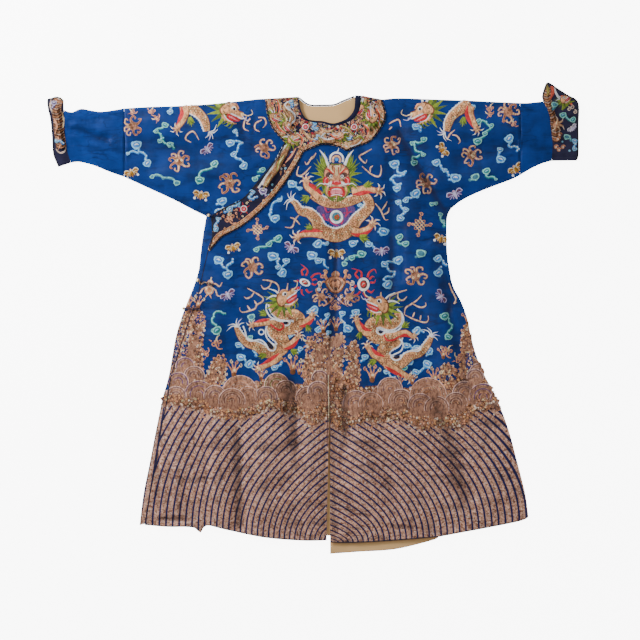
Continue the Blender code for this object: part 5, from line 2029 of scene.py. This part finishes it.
robe.line(U(((170, -52), (180, -69), (198, -69), (214, -60), (230, -47))), [1.4, 2.0, 1.4], "red", 0.6)
tail_fan(tip((317, -59)), 0, 0, 55, 11)
leg(robe, U(((214, -53), (236, -47), (252, -53), (260, -56))), 6.5)
claw(tip((261, -56)), 0, 0, -15, 6)
tuft(tip((227, -28)), 0, 0, 30, 9, 5, 60)
leg(robe, U(((130, -47), (108, -41), (92, -22), (85, -6))), 7.5)
claw(tip((85, -5)), 0, 0, 120, 6)
tuft(tip((98, -44)), 0, 0, 250, 9, 4, 50)
leg(robe, U(((170, -128), (142, -116), (127, -100), (119, -89))), 7.5)
claw(tip((119, -89)), 0, 0, 110, 6)
tuft(tip((145, -134)), 0, 0, 200, 9, 5, 60)
leg(robe, U(((177, -144), (205, -162), (233, -177), (248, -184))), 7.5)
claw(tip((248, -184)), 0, 0, -30, 6.5)
face_side(tip((163, 29), 1.1, -12, True))

# ---------------------------------------------------------------- shoulder dragons, cut off at the fold
def on_shoulder(mirror, *rows):
    """The given places, or their mirror images about a line 8 mm to the right of x = 0."""
    return [(-16 - x, y) if mirror else (x, y) for x, y in rows]


for mirror in (False, True):
    rows = on_shoulder(mirror, (-455, 672), (-436, 659), (-411, 642), (-395, 625), (-387, 606), (-383, 584))
    scaled_body(robe, U(rows), [12, 11, 9.5, 8.5, 8, 5.5], -1)
    tail_fan(tip(*on_shoulder(mirror, (-377, 581))), 0, 0, -140 if mirror else -40, 10)
    leg(robe, U(on_shoulder(mirror, (-455, 662), (-453, 638), (-464, 612), (-475, 595))), 8)
    claw(tip(*on_shoulder(mirror, (-475, 592))), 0, 0, -50 if mirror else 230, 6.5)
    tuft(tip(*on_shoulder(mirror, (-436, 628))), 0, 0, 260 if mirror else -80, 10, 5, 50)
    face_side(tip(*on_shoulder(mirror, (-323, 644)), 1.15, 38 if mirror else -38, mirror))

# ---------------------------------------------------------------- jewel, rocks and waves
def pebbles(rows):
    """A rock: a copper ground packed with small curls and stones, with a fringe of curls."""
    s = waves
    loop = U(rows)
    s.blob(loop, "umber", 0.3)
    ring = curve(loop, 2.4, closed=True)
    for k, (px, py) in enumerate(ring):
        if k % 2:
            s.spiral(
                px, py, random.uniform(1.0, 1.7), 1.1, 0.9, random.choice(("copper", "gold", "pinkish")),
                random.uniform(0, 360), random.choice((-1, 1))
            )
    shape = [tuple(p) for p in ring]
    xs, ys = [p[0] for p in shape], [p[1] for p in shape]
    for y in np.arange(min(ys), max(ys), 1.95):
        for x in np.arange(min(xs), max(xs), 1.95):
            px, py = x + random.uniform(-0.7, 0.7), y + random.uniform(-0.7, 0.7)
            if not inside(np.array([px]), np.array([py]), shape)[0]:
                continue
            colour = random.choices(
                ("gold", "copper", "gold_light", "gold_dark", "pinkish", "brown", "ink"),
                (20, 14, 12, 22, 8, 16, 8)
            )[0]
            if random.random() < 0.7:
                s.disc(
                    px, py, random.uniform(0.55, 1.0), colour, 0.9, random.uniform(0.6, 1),
                    random.uniform(0, 3)
                )
            else:
                s.spiral(px, py, 1.1, 1.0, 0.7, colour, random.uniform(0, 360))


emblem(tip((19, 94), 1.05))
ROCKS = (
    ((-390, -203), (-373, -150), (-355, -122), (-330, -119), (-323, -156), (-333, -206)),
    ((39, -222), (48, -169), (70, -134), (92, -138), (95, -188), (80, -222)),
    ((348, -206), (345, -169), (355, -144), (386, -150), (414, -188), (427, -219), (389, -225)),
    (
        (-492, -250), (-492, -138), (-473, -38), (-452, 12), (-427, 34), (-402, 22), (-389, -12),
        (-398, -84), (-395, -169), (-405, -244)
    ),
    (
        (-61, -256), (-64, -169), (-73, -100), (-55, -59), (-23, -47), (5, -62), (36, -47), (48, -84),
        (39, -156), (36, -256)
    ),
    ((414, -212), (411, -116), (414, -47), (433, -12), (458, 0), (477, -100), (495, -219)),
    ((-83, -188), (-80, -138), (-64, -116), (-48, -144), (-48, -194)),
    ((48, -125), (58, -88), (80, -72), (92, -100), (83, -131)),
)
for rows in ROCKS:
    pebbles(rows)
for place, size in (
    ((-299, -172), 1.2), ((-115, -162), 1.4), ((133, -188), 1.3), ((328, -194), 1.2), ((-214, -186), 0.9),
    ((220, -206), 0.8),
    ((-355, 19), 0.1), ((-20, -38), 1.0), ((20, -31), 1.0), ((-411, 38), 1.0), ((-442, 38), 1.0),
    ((433, -12), 1.0),
    ((-95, -169), 0.8), ((355, -119), 0.9), ((258, -200), 0.8),
):
    spray(tip(place, size))

top_x = np.array([p[0] for p in STRIPE_TOP])
top_y = np.array([p[1] for p in STRIPE_TOP])
FROTH_TOP = (
    (-655, -231), (-473, -231), (-405, -231), (-361, -219), (-305, -206), (-248, -206), (-170, -188),
    (-92, -212), (-55, -181), (48, -188), (89, -219), (170, -212), (220, -225), (264, -219), (345, -212),
    (414, -188), (464, -194), (520, -219), (627, -225)
)
froth_x = [p[0] for p in FROTH_TOP]
froth_y = [p[1] for p in FROTH_TOP]
FROTH_ROW = 7.2
FROTH_STEP = 7.6
ROBE_ACROSS = (-561, 570)
for row_y in np.arange(-356, -162, FROTH_ROW):
    for row_x in np.arange(*ROBE_ACROSS, FROTH_STEP):
        x = row_x + random.uniform(-2.4, 2.4) + (FROTH_STEP / 2 if int(row_y / FROTH_ROW) % 2 else 0)
        y = row_y + random.uniform(-2.0, 2.0)
        if np.interp(x, top_x, top_y) - 6 < y < np.interp(x, froth_x, froth_y):
            waves.disc(
                x / UNIT, y / UNIT, 2.3, random.choice(("umber", "brown", "umber", "gold_dark")), 0.05
            )
            froth(waves, x / UNIT, y / UNIT, random.uniform(0.9, 1.4))

# Wave domes, read off the photo: centre, radius in units, tone.
DOMES = (
    ((-452, -150), 9, "violet"), ((-423, -181), 10, "dusk"), ((-473, -200), 10, "violet"),
    ((467, -169), 9, "dusk"),
    ((-30, -188), 8, "dusk"), ((-67, -250), 12, "brown"), ((-36, -228), 10, "dusk"),
    ((-408, -238), 14, "violet"), ((-165, -209), 12, "green_dark"),
    ((-280, -231), 17, "copper"), ((-358, -244), 11, "dusk"), ((-136, -225), 10, "brown"),
    ((-198, -247), 11, "dusk"), ((-255, -241), 9, "copper"),
    ((-305, -259), 13, "brown"), ((170, -244), 12, "copper"), ((189, -222), 12, "dusk"),
    ((83, -266), 13, "dusk"), ((223, -259), 12, "brown"),
    ((129, -269), 12, "copper"), ((423, -234), 12, "dusk"), ((480, -247), 14, "violet"),
    ((308, -241), 18, "copper"), ((395, -266), 11, "brown"),
    ((283, -272), 12, "dusk"), ((335, -281), 12, "brown"), ((455, -184), 8, "dusk"),
    ((-530, -250), 10, "violet"), ((-480, -244), 10, "dusk"),
    ((533, -256), 10, "violet"),
)
for place, r, tone in DOMES:
    dome(waves, *U([place])[0], r, tone)
for row_x in np.arange(*ROBE_ACROSS, 6.0):
    for k in range(3):
        x = row_x + random.uniform(-2.5, 2.5)
        y = np.interp(x, top_x, top_y) + random.uniform(-14, 16) + 2 * k
        waves.disc(x / UNIT, y / UNIT, 1.7, random.choice(("umber", "brown", "umber", "gold_dark")), 0.05)
        froth(waves, x / UNIT, y / UNIT, random.uniform(0.8, 1.3))

for row_x in np.arange(*ROBE_ACROSS, 3.6):
    x = row_x + random.uniform(-2.5, 2.5)
    y = np.interp(x, top_x, top_y) - 6 - abs(random.gauss(0, 1)) * 17
    if y > np.interp(x, front_hem_x, front_hem_y) + 60:
        r = random.uniform(0.6, 1.1)
        waves.spiral(
            x / UNIT, y / UNIT, r, 1.1, 0.8, random.choice(("copper", "mauve", "umber", "pinkish")),
            random.uniform(0, 360)
        )

# ---------------------------------------------------------------- collar, band and cuffs


def strip(s, line, width, colour="gold", dark="gold_dark", curl=2.2):
    """A figured border: a row of small scrolls between two lines."""
    path = np.asarray(U(line))
    run = np.concatenate([[0], np.cumsum(np.hypot(*np.diff(path, axis=0).T))])
    even = np.arange(0, run[-1], 0.9)
    path = np.stack([np.interp(even, run, path[:, 0]), np.interp(even, run, path[:, 1])], 1)
    side = normals(path)
    s.line(path, width, dark, 0.3, raw=True)
    for o in (-0.5, 0.5):
        s.line(path + side * width * o, 0.55, colour, raw=True)
    step = max(2, int(curl / 0.9))
    for k in range(step // 2, len(path), step):
        o = 0.22 * width * (1 if (k // step) % 2 else -1)
        x, y = path[k] + side[k] * o
        s.spiral(
            x, y, width * 0.26, 1.1, 0.62, random.choice((colour, "gold_light", "copper", colour)),
            random.uniform(0, 360), 1 if o > 0 else -1
        )
        s.disc(
            x + side[k][0] * -o * 1.6, y + side[k][1] * -o * 1.6, 0.62,
            random.choice(("pinkish", "copper", colour)), 0.8
        )


def filling(
    s, loop, step=2.6, share=0.8,
    colours=(
        "gold", "copper", "gold_light", "mauve", "olive", "coral", "pinkish", "white", "green", "red"
    )
):
    """Small curls, knots and sparks that fill a figured ground."""
    xs, ys = [p[0] / UNIT for p in loop], [p[1] / UNIT for p in loop]
    shape = U(loop)
    weights = (24, 20, 8, 14, 12, 10, 8, 3, 6, 5)[: len(colours)]
    for y in np.arange(min(ys), max(ys), step):
        for x in np.arange(min(xs), max(xs), step):
            px, py = x + random.uniform(-0.9, 0.9), y + random.uniform(-0.9, 0.9)
            if random.random() > share or not inside(np.array([px]), np.array([py]), shape)[0]:
                continue
            colour = random.choices(colours, weights)[0]
            if random.random() < 0.6:
                s.spiral(
                    px, py, random.uniform(1.0, 1.6), 1.0, 0.8, colour, random.uniform(0, 360),
                    random.choice((-1, 1))
                )
            else:
                a = random.uniform(0, 6.28)
                s.line(
                    [
                        (px - 1.4 * math.cos(a), py - 1.4 * math.sin(a)), (px + 0.3, py + 0.3),
                        (px + 1.4 * math.cos(a + 0.5), py + 1.4 * math.sin(a + 0.5))
                    ],
                    [0.5, 1.1, 0.4], colour
                )


def small_dragon(s, points, ridge=1, width=5.2):
    scaled_body(s, U(points), [width * 0.5, width, width * 1.1, width, width * 0.8], ridge, True, 1.5)


filling(trim, collar_left, 2.3, 0.95)
filling(trim, collar_right, 2.3, 0.95)
filling(
    trim, overlap_band, 3.2, 0.35,
    ("gold", "copper", "gold_light", "gold_dark", "sky", "red", "sky", "white")
)
strip(trim, offset(collar_right_edge, [8.5] * len(collar_right_edge)), 4.6)
strip(trim, offset(band_lower, [-9.5] * len(band_lower)), 5.0)
strip(trim, offset(collar_left_edge, [-8.5] * len(collar_left_edge)), 4.6)
small_dragon(trim, ((-105, 672), (-139, 662), (-130, 644), (-117, 622), (-136, 606), (-127, 584)), 1)
trim.line(U(((-117, 681), (-139, 669), (-130, 653), (-111, 641), (-108, 622), (-123, 603))), 1.2, "white")
small_dragon(trim, ((-123, 547), (-139, 519), (-155, 491), (-170, 462), (-189, 438), (-202, 412)), -1, 6.0)
trim.line(
    U(((-134, 550), (-153, 522), (-164, 500), (-180, 472), (-198, 444), (-214, 419), (-223, 406))), 1.7,
    "white", 0.9
)
small_dragon(trim, ((111, 688), (114, 656), (136, 641), (142, 616), (120, 594)), -1)
trim.line(U(((102, 688), (105, 662), (127, 659), (139, 650), (142, 628))), 1.2, "white")
small_dragon(trim, ((-11, 588), (-36, 566), (-11, 550), (20, 556)), 1, 4.4)
small_dragon(trim, ((48, 541), (83, 550), (102, 572)), -1, 4.4)
for place, r in (((-75, 597), 3.4), ((77, 597), 3.2), ((-268, 341), 3.6)):
    s = tip(place, 1.0, 0, False, "trim")
    for a in (30, 100, 170, 240, 310):
        t = math.radians(a)
        s.line([(0, 0), (r * 1.9 * math.cos(t), r * 1.9 * math.sin(t))], [1.8, 0.3], "red")
    s.disc(0, 0, r, "red", 0.8)
    s.ring(0, 0, r * 0.85, 0.8, "white")
    s.disc(0, 0, r * 0.4, "pink")
for kind, *nodes in (
    ("pale", (-45, 612, 2.8), (-52, 597), (-42, 591, 2.4)),
    ("pale", (-120, 675, 2.4), (-117, 662)),
    ("lilac", (-208, 397, 4.2)),
    ("pale", (-242, 394, 3.0), (-252, 378), (-239, 372), (-227, 378)),
    ("pale", (-286, 362, 3.0), (-292, 350), (-311, 341, 3.4), (-327, 331)),
    ("pale", (-348, 312, 2.6), (-355, 294), (-355, 278, 3.2)),
    ("pale", (-36, 569, 2.0)),
    ("pale", (42, 566, 2.0), (58, 559), (67, 566)),
    ("pale", (136, 622, 2.0)),
):
    cloud(trim, kind, U(nodes))
scroll(tip((-311, 309), 1.3, 20, False, "trim"))
for place, size, turn, flip in (
    ((-139, 603), 0.55, -60, False), ((130, 622), 0.72, -70, True), ((-120, 553), 0.6, 10, False),
    ((36, 566), 0.5, 0, True),
    ((102, 656), 0.5, 60, True), ((-180, 628), 0.5, -40, False),
):
    face_side(tip(place, size, turn, flip, "trim"))
for row, colour in (
    (((-164, 681), (-155, 656), (-164, 631)), "coral"),
    (((-152, 641), (-136, 622), (-142, 597)), "olive"),
    (((-167, 612), (-155, 591), (-136, 575)), "coral"),
    (((-102, 575), (-83, 559), (-92, 534)), "coral"), (((-127, 566), (-111, 550), (-92, 553)), "green"),
    (((-105, 531), (-120, 506), (-139, 484)), "coral"),
    (((-83, 584), (-64, 562), (-42, 553)), "gold"), (((-30, 594), (-8, 581), (14, 591)), "gold"),
    (((2, 575), (23, 562), (48, 578)), "coral"),
    (((33, 600), (55, 591), (70, 575)), "olive"), (((105, 606), (123, 588), (114, 562)), "coral"),
    (((145, 656), (158, 631), (152, 603)), "coral"),
    (((130, 597), (142, 578), (127, 556)), "gold"), (((77, 559), (95, 569), (108, 553)), "green"),
    (((48, 550), (61, 534), (48, 525)), "gold"),
    (((-142, 509), (-158, 484), (-164, 459)), "green"),
    (((-183, 444), (-195, 422), (-211, 400)), "olive"), (((-36, 566), (-23, 547), (-45, 538)), "olive"),
):
    trim.line(U(row), [1.2, 2.6, 0.6], colour, 0.9)
    trim.line(U([(x + 2, y + 2) for x, y in row]), [0.5, 0.9, 0.3], "gold_light")
for line, side in (
    (band_upper, 1.8), (band_lower, -1.8), (collar_right_edge, 1.8), (collar_left_edge, -1.8)
):
    trim.line(U(offset(line, [side] * len(line))[::2]), 1.9, "black", 0.6, raw=True)

# Cuffs.
def cuff_fringe(line, width, tones, lead, near, far, back):
    """The folded edge of a cuff: a brown ground with short strokes to both sides of it."""
    path = curve(U(line), 0.85)
    side = normals(path)
    cuffs.line(path, width, "brown", 0.3, raw=True)
    for k in range(1, len(path) - 1):
        along = path[k + 1] - path[k]
        for way in (-1, 1):
            stroke = [
                path[k] + along * lead,
                path[k] + side[k] * way * near,
                path[k] + side[k] * way * far - along * back,
            ]
            cuffs.line(stroke, [0.9, 0.8, 0.4], tones[k % 6], 0.6)


cuff_fringe(
    ((-842, 691), (-852, 669), (-853, 644), (-847, 616), (-846, 588), (-841, 556), (-838, 531)),
    10.5, ("copper", "gold_dark", "pinkish", "copper", "brown", "gold"), 1.2, 2.6, 4.9, 1.8,
)
for row, colour in (
    (((-870, 684), (-873, 662), (-867, 644)), "pinkish"),
    (((-836, 644), (-830, 616), (-833, 594)), "gold_light"),
    (((-861, 625), (-852, 600), (-858, 575)), "copper"),
    (((-852, 569), (-842, 547), (-848, 525)), "copper"),
    (((-855, 528), (-842, 516), (-827, 522), (-823, 538)), "pinkish"),
    (((-827, 594), (-823, 566), (-823, 541)), "coral"),
):
    cuffs.line(U(row), [1.0, 2.0, 0.6], colour, 0.9)
cloud(cuffs, "lilac", U([(-861, 672, 3.0)]))
cloud(cuffs, "pale", U([(-852, 553, 2.2)]))
cuff_fringe(
    ((677, 719), (680, 694), (686, 662), (695, 631), (705, 600), (708, 569), (711, 550)),
    [9, 8, 7, 8, 9.5, 9, 7], ("copper", "gold_dark", "gold", "copper", "brown", "pinkish"), 1, 2.2, 4.1,
    1.6,
)
cuffs.line(U(((702, 725), (708, 703), (723, 678))), [1.0, 2.2, 1.8], "white", 0.9)
cuffs.line(U(((695, 725), (698, 703), (689, 684))), [3.0, 3.4, 1.2], "coral", 0.9)
cuffs.line(U(((723, 694), (739, 684), (758, 666))), [1.4, 3.6, 2.0], "coral", 0.9)
cuffs.line(U(((677, 731), (683, 712), (680, 694))), [2.0, 3.4, 1.0], "olive", 0.9)
for row in (
    ((727, 650), (739, 669), (755, 688)), ((733, 656), (748, 672), (767, 678)),
    ((723, 669), (739, 678), (752, 691))
):
    cuffs.line(U(row), [2.0, 2.6, 0.5], "green", 0.9)
claw(cuffs, *U([(708, 606)])[0], -5, 8.5, "copper", "pinkish")
face_side(tip((733, 678), 0.5, 30, False, "cuff"))
for kind, *nodes in (
    ("mist", (703, 667, 3.4)),
    ("teal", (730, 634, 3.6), (742, 625), (761, 620, 3.4)),
    ("mist", (742, 566, 3.4), (755, 556)),
    ("pale", (767, 553, 3.0), (764, 534), (766, 528, 2.4)),
):
    cloud(cuffs, kind, U(nodes))
bat(tip((760, 592), 0.6, 40, False, "cuff"), "lilac", "lilac", "white")
for place in ((758, 659), (767, 644), (748, 653)):
    cuffs.spiral(*U([place])[0], 2.2, 1.2, 1.0, "pinkish", 30, 1)
for place in ((714, 559), (708, 534), (730, 534), (717, 525), (720, 572)):
    cuffs.spiral(*U([place])[0], 2.4, 1.2, 1.1, "copper", 90, -1)
    cuffs.disc(*U([place])[0], 1.0, "pinkish")
for place in ((728, 551), (750, 523)):
    cuffs.disc(*U([place])[0], 1.1, "sky")
cuffs.line(U(offset(left_cuff_edge, [-1.6] * len(left_cuff_edge))), 1.5, "black", 0.6, raw=True)
cuffs.line(U(offset(right_cuff_edge, [1.6] * len(right_cuff_edge))), 1.3, "black", 0.6, raw=True)

# Edges: dark lines along the hem, the free edge and the lower right side, the cream edge of the facing in the
# slit, and painted shadow as brown lines to both sides of it.
for line, side in ((right_hem, 1.6), (left_hem, 1.6), (free_edge, 1.6), (right_side[40:], 1.2)):
    robe.line(U(offset(line, [side] * len(line))), 0.95, "ink", 0.6, raw=True)
robe.line(U(((-3.5, -150), (-3.2, SLIT_TOP), (-1.6, -330), (-1.2, -395))), 0.55, "cream", 1.0)
# Painted shadow to both sides of the slit.
robe.line(U(((-8, -170), (-7.5, -260), (-6, -400))), 0.8, "brown", 0.3)
robe.line(U(((2.4, -170), (2.2, -260), (2.4, -400))), 0.6, "brown", 0.3)
robe.line(U(((-0.6, 530), (-0.6, 200), (-0.6, -140))), 0.22, "ink", 0.3)

# ---------------------------------------------------------------- lay the drawings on the cloth
threads = [
    thread("thread_" + name, colour, metal, rough, *((0.5, 150.0) if metal else (0.3, 230.0)))
    for name, (colour, metal, rough) in PALETTE.items()
]
WHERE = {
    "robe": (
        ("front_overlap", overlap, OVER_TOP, False), ("body_left", body_left_front, OVER_TOP, False),
        ("body_right", body_right_front, UNDER_TOP, True),
    ),
    "trim": (
        ("collar_left", collar_left, BAND_TOP, False), ("overlap_band", overlap_band, BAND_TOP, False),
        ("collar_right", collar_right, OVER_TOP, False),
    ),
    "cuff": (("cuff_left", cuff_left, OVER_TOP, False), ("cuff_right", cuff_right, UNDER_TOP, False)),
}
WHERE["waves"] = WHERE["robe"]
# A flat extra darkening of the collar and band drawings, and more of the cuff drawings, added to their
# painted fold shade.
DARKER = {"robe": 0.0, "waves": 0.0, "trim": 0.28, "cuff": 0.6}
COVERS = (collar_left, overlap_band, collar_right, neck_binding_front)
for layer, drawings in work.items():
    if not drawings:
        continue
    sizes = np.cumsum([0] + [len(row[0]) for row in drawings])
    x = np.concatenate([row[0] for row in drawings])
    y = np.concatenate([row[1] for row in drawings])
    rise = np.concatenate([row[2] for row in drawings])
    faces = np.concatenate([row[3] + start for row, start in zip(drawings, sizes)])
    colour = np.concatenate([np.full(len(row[3]), row[4]) for row in drawings])
    mx, my = x[faces].mean(1), y[faces].mean(1)
    free = np.ones(len(faces), bool)
    if layer in ("robe", "waves"):
        for loop in COVERS:
            free &= ~inside(mx, my, loop)
    for name, loop, level, beneath in WHERE[layer]:
        own = free & inside(mx, my, loop)
        free &= ~own
        used, index = np.unique(faces[own], return_inverse=True)
        if not len(used):
            continue
        ux, uy = x[used], y[used]
        z = level + (under_loft if beneath else loft)(ux, uy) - edge_drop(ux, uy) + rise[used]
        kind = "_wave_border" if layer == "waves" else "_embroidery"
        # The threads carry the painted fold shade of the cloth below them.
        made = make_object(
            name + kind, np.stack([ux, uy, z], 1), index.reshape(-1, 3), threads, colour[own],
            facts={"painted_shading": shade(ux, uy) + DARKER[layer]},
        )
        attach(made, "root")

# ---------------------------------------------------------------- buttons and loops
FASTENINGS = (
    ("armpit", -377, 322, -340, 318),
    ("waist", -411, 118, -361, 103),
    ("hip", -456, 30, -408, 28),
)
BUTTON_RADIUS = 5.0
CORD_RADIUS = 1.3
CORD_SPREAD = 2.2
BALL_STANDS = 7.0
CORD_STANDS = BAND_TOP + CORD_RADIUS + 0.6
gilt = Nodes("gilt_brass", 0.3, 0.9)
gilt.color(gilt.mix(gilt.spread(gilt.noise(400.0, 2.0), 0.4, 0.7), srgb(232, 206, 150), srgb(190, 150, 92)))
gilt.bump(gilt.noise(600.0, 2.0), 0.2, 0.0004)
silk_cord = Nodes("cord_silk", 0.5, 0.0, 0.05)
silk_cord.color(srgb(24, 30, 66))
silk_cord.bump(silk_cord.wave(700.0, silk_cord.stretch(1, 1, 1, 0.7)), 0.6, 0.0006)


def turned(profile, x, y, z, around=20):
    """A closed turned form from rows of radius and height, in mm."""
    points, faces = [], []
    for r, h in profile:
        for k in range(around):
            a = 2 * math.pi * k / around
            points.append((x + r * math.cos(a), y + r * math.sin(a), z + h))
    for row in range(len(profile) - 1):
        for k in range(around):
            a, b = row * around + k, row * around + (k + 1) % around
            faces += [(a, b, b + around), (a, b + around, a + around)]
    for row, turn in ((0, -1), (len(profile) - 1, 1)):
        middle = len(points)
        points.append((x, y, z + profile[row][1]))
        for k in range(around):
            a, b = row * around + k, row * around + (k + 1) % around
            faces.append((middle, a, b) if turn > 0 else (middle, b, a))
    return np.array(points), np.array(faces)


def tube(path, radius, around=8):
    """A closed round cord along the path, in mm."""
    path = np.asarray(path, float)
    ahead = np.gradient(path, axis=0)
    ahead /= np.linalg.norm(ahead, axis=1)[:, None]
    side = np.cross(ahead, (0, 0, 1.0))
    side /= np.maximum(np.linalg.norm(side, axis=1), 1e-6)[:, None]
    up = np.cross(side, ahead)
    points, faces = [], []
    for p, s, u in zip(path, side, up):
        for k in range(around):
            a = 2 * math.pi * k / around
            points.append(p + radius * (s * math.cos(a) + u * math.sin(a)))
    for row in range(len(path) - 1):
        for k in range(around):
            a, b = row * around + k, row * around + (k + 1) % around
            faces += [(a, b + around, b), (a, a + around, b + around)]
    for row, turn in ((0, 1), (len(path) - 1, -1)):
        middle = len(points)
        points.append(path[row])
        for k in range(around):
            a, b = row * around + k, row * around + (k + 1) % around
            faces.append((middle, a, b) if turn > 0 else (middle, b, a))
    return np.array(points), np.array(faces)


for name, x, y, end_x, end_y in FASTENINGS:
    z = float(BALL_STANDS + under_loft(x, y) + BUTTON_RADIUS)
    rows = []
    for k in range(13):
        a = -math.pi / 2 + math.pi * (k + 0.5) / 13
        groove = 0.35 if k == 6 else 0.0
        rows.append(((BUTTON_RADIUS - groove) * math.cos(a), BUTTON_RADIUS * math.sin(a)))
    points, faces = turned(rows, x, y, z)
    ball = make_object("ball_" + name, points, faces, [gilt.material])
    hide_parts("button_" + name)
    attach(ball, "root")
    dx, dy = end_x - x, end_y - y
    size = math.hypot(dx, dy)
    clear = (BUTTON_RADIUS + CORD_RADIUS + 1.5) / size
    start = (x + dx * clear, y + dy * clear)
    dx, dy = end_x - start[0], end_y - start[1]
    size = math.hypot(dx, dy)
    top = max(float(loft(start[0] + dx * t, start[1] + dy * t)) for t in (0, 0.25, 0.5, 0.75, 1))
    plan = [
        (1.0, 1), (0.7, 1), (0.4, 1), (0.12, 1.0), (0.0, 0.45), (0.0, -0.45), (0.12, -1.0), (0.4, -1),
        (0.7, -1), (1.0, -1)
    ]
    line = [
        (start[0] + dx * t - dy / size * CORD_SPREAD * s, start[1] + dy * t + dx / size * CORD_SPREAD * s)
        for t, s in plan
    ]
    line = [(px, py, CORD_STANDS + top) for px, py in smooth(line, 2.0)]
    points, faces = tube(line, CORD_RADIUS)
    cord_piece = make_object("cord_" + name, points, faces, [silk_cord.material])
    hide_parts("loop_" + name)
    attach(cord_piece, "root")


outlines = {row[0]: [loop for loop in (row[1], row[2]) if loop] for row in CLOTH}
outlines.update(
    lining_back=[lining], slit_facing=[slit_facing], collar_back=[collar_back],
    neck_binding_back=[neck_binding_back]
)
for name, piece in pieces.items():
    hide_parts(name)
    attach(piece, "root")

# ---------------------------------------------------------------- floor, light and camera
FLOOR_GLOW = 8.0
ROOM_LIGHT = 0.36
bpy.ops.mesh.primitive_plane_add(size=14, location=(0, 0, -0.0006))
floor = bpy.context.object
floor.name = "floor"
paper = Nodes("pale_paper", 0.9)
paper.color(srgb(246, 246, 246))
paper.shader.inputs["Emission Color"].default_value = (1, 1, 1, 1)
paper.shader.inputs["Emission Strength"].default_value = FLOOR_GLOW
floor.data.materials.append(paper.material)

world = bpy.data.worlds.new("soft_room")
bpy.context.scene.world = world
world.use_nodes = True
world.node_tree.nodes["Background"].inputs["Color"].default_value = (1.0, 1.0, 1.0, 1)
world.node_tree.nodes["Background"].inputs["Strength"].default_value = ROOM_LIGHT


def softbox(name, place, size, power, tint=(1, 1, 1)):
    data = bpy.data.lights.new(name, "AREA")
    data.shape = "SQUARE"
    data.size = size
    data.energy = power
    data.color = tint
    lamp = bpy.data.objects.new(name, data)
    lamp.location = place
    lamp.rotation_mode = "QUATERNION"
    lamp.rotation_quaternion = (-Vector(place)).to_track_quat("-Z", "Y")
    bpy.context.scene.collection.objects.link(lamp)


softbox("key", (-2.6, 1.9, 1.5), 1.0, 175)
softbox("fill", (2.4, 0.8, 2.6), 2.0, 26)

camera_data = bpy.data.cameras.new("overhead")
camera_data.type = "ORTHO"
camera_data.ortho_scale = 2.0
camera_data.clip_end = 20
camera = bpy.data.objects.new("overhead", camera_data)
camera.location = (-0.0297, -0.0063, 4.0)
bpy.context.scene.collection.objects.link(camera)
bpy.context.scene.camera = camera
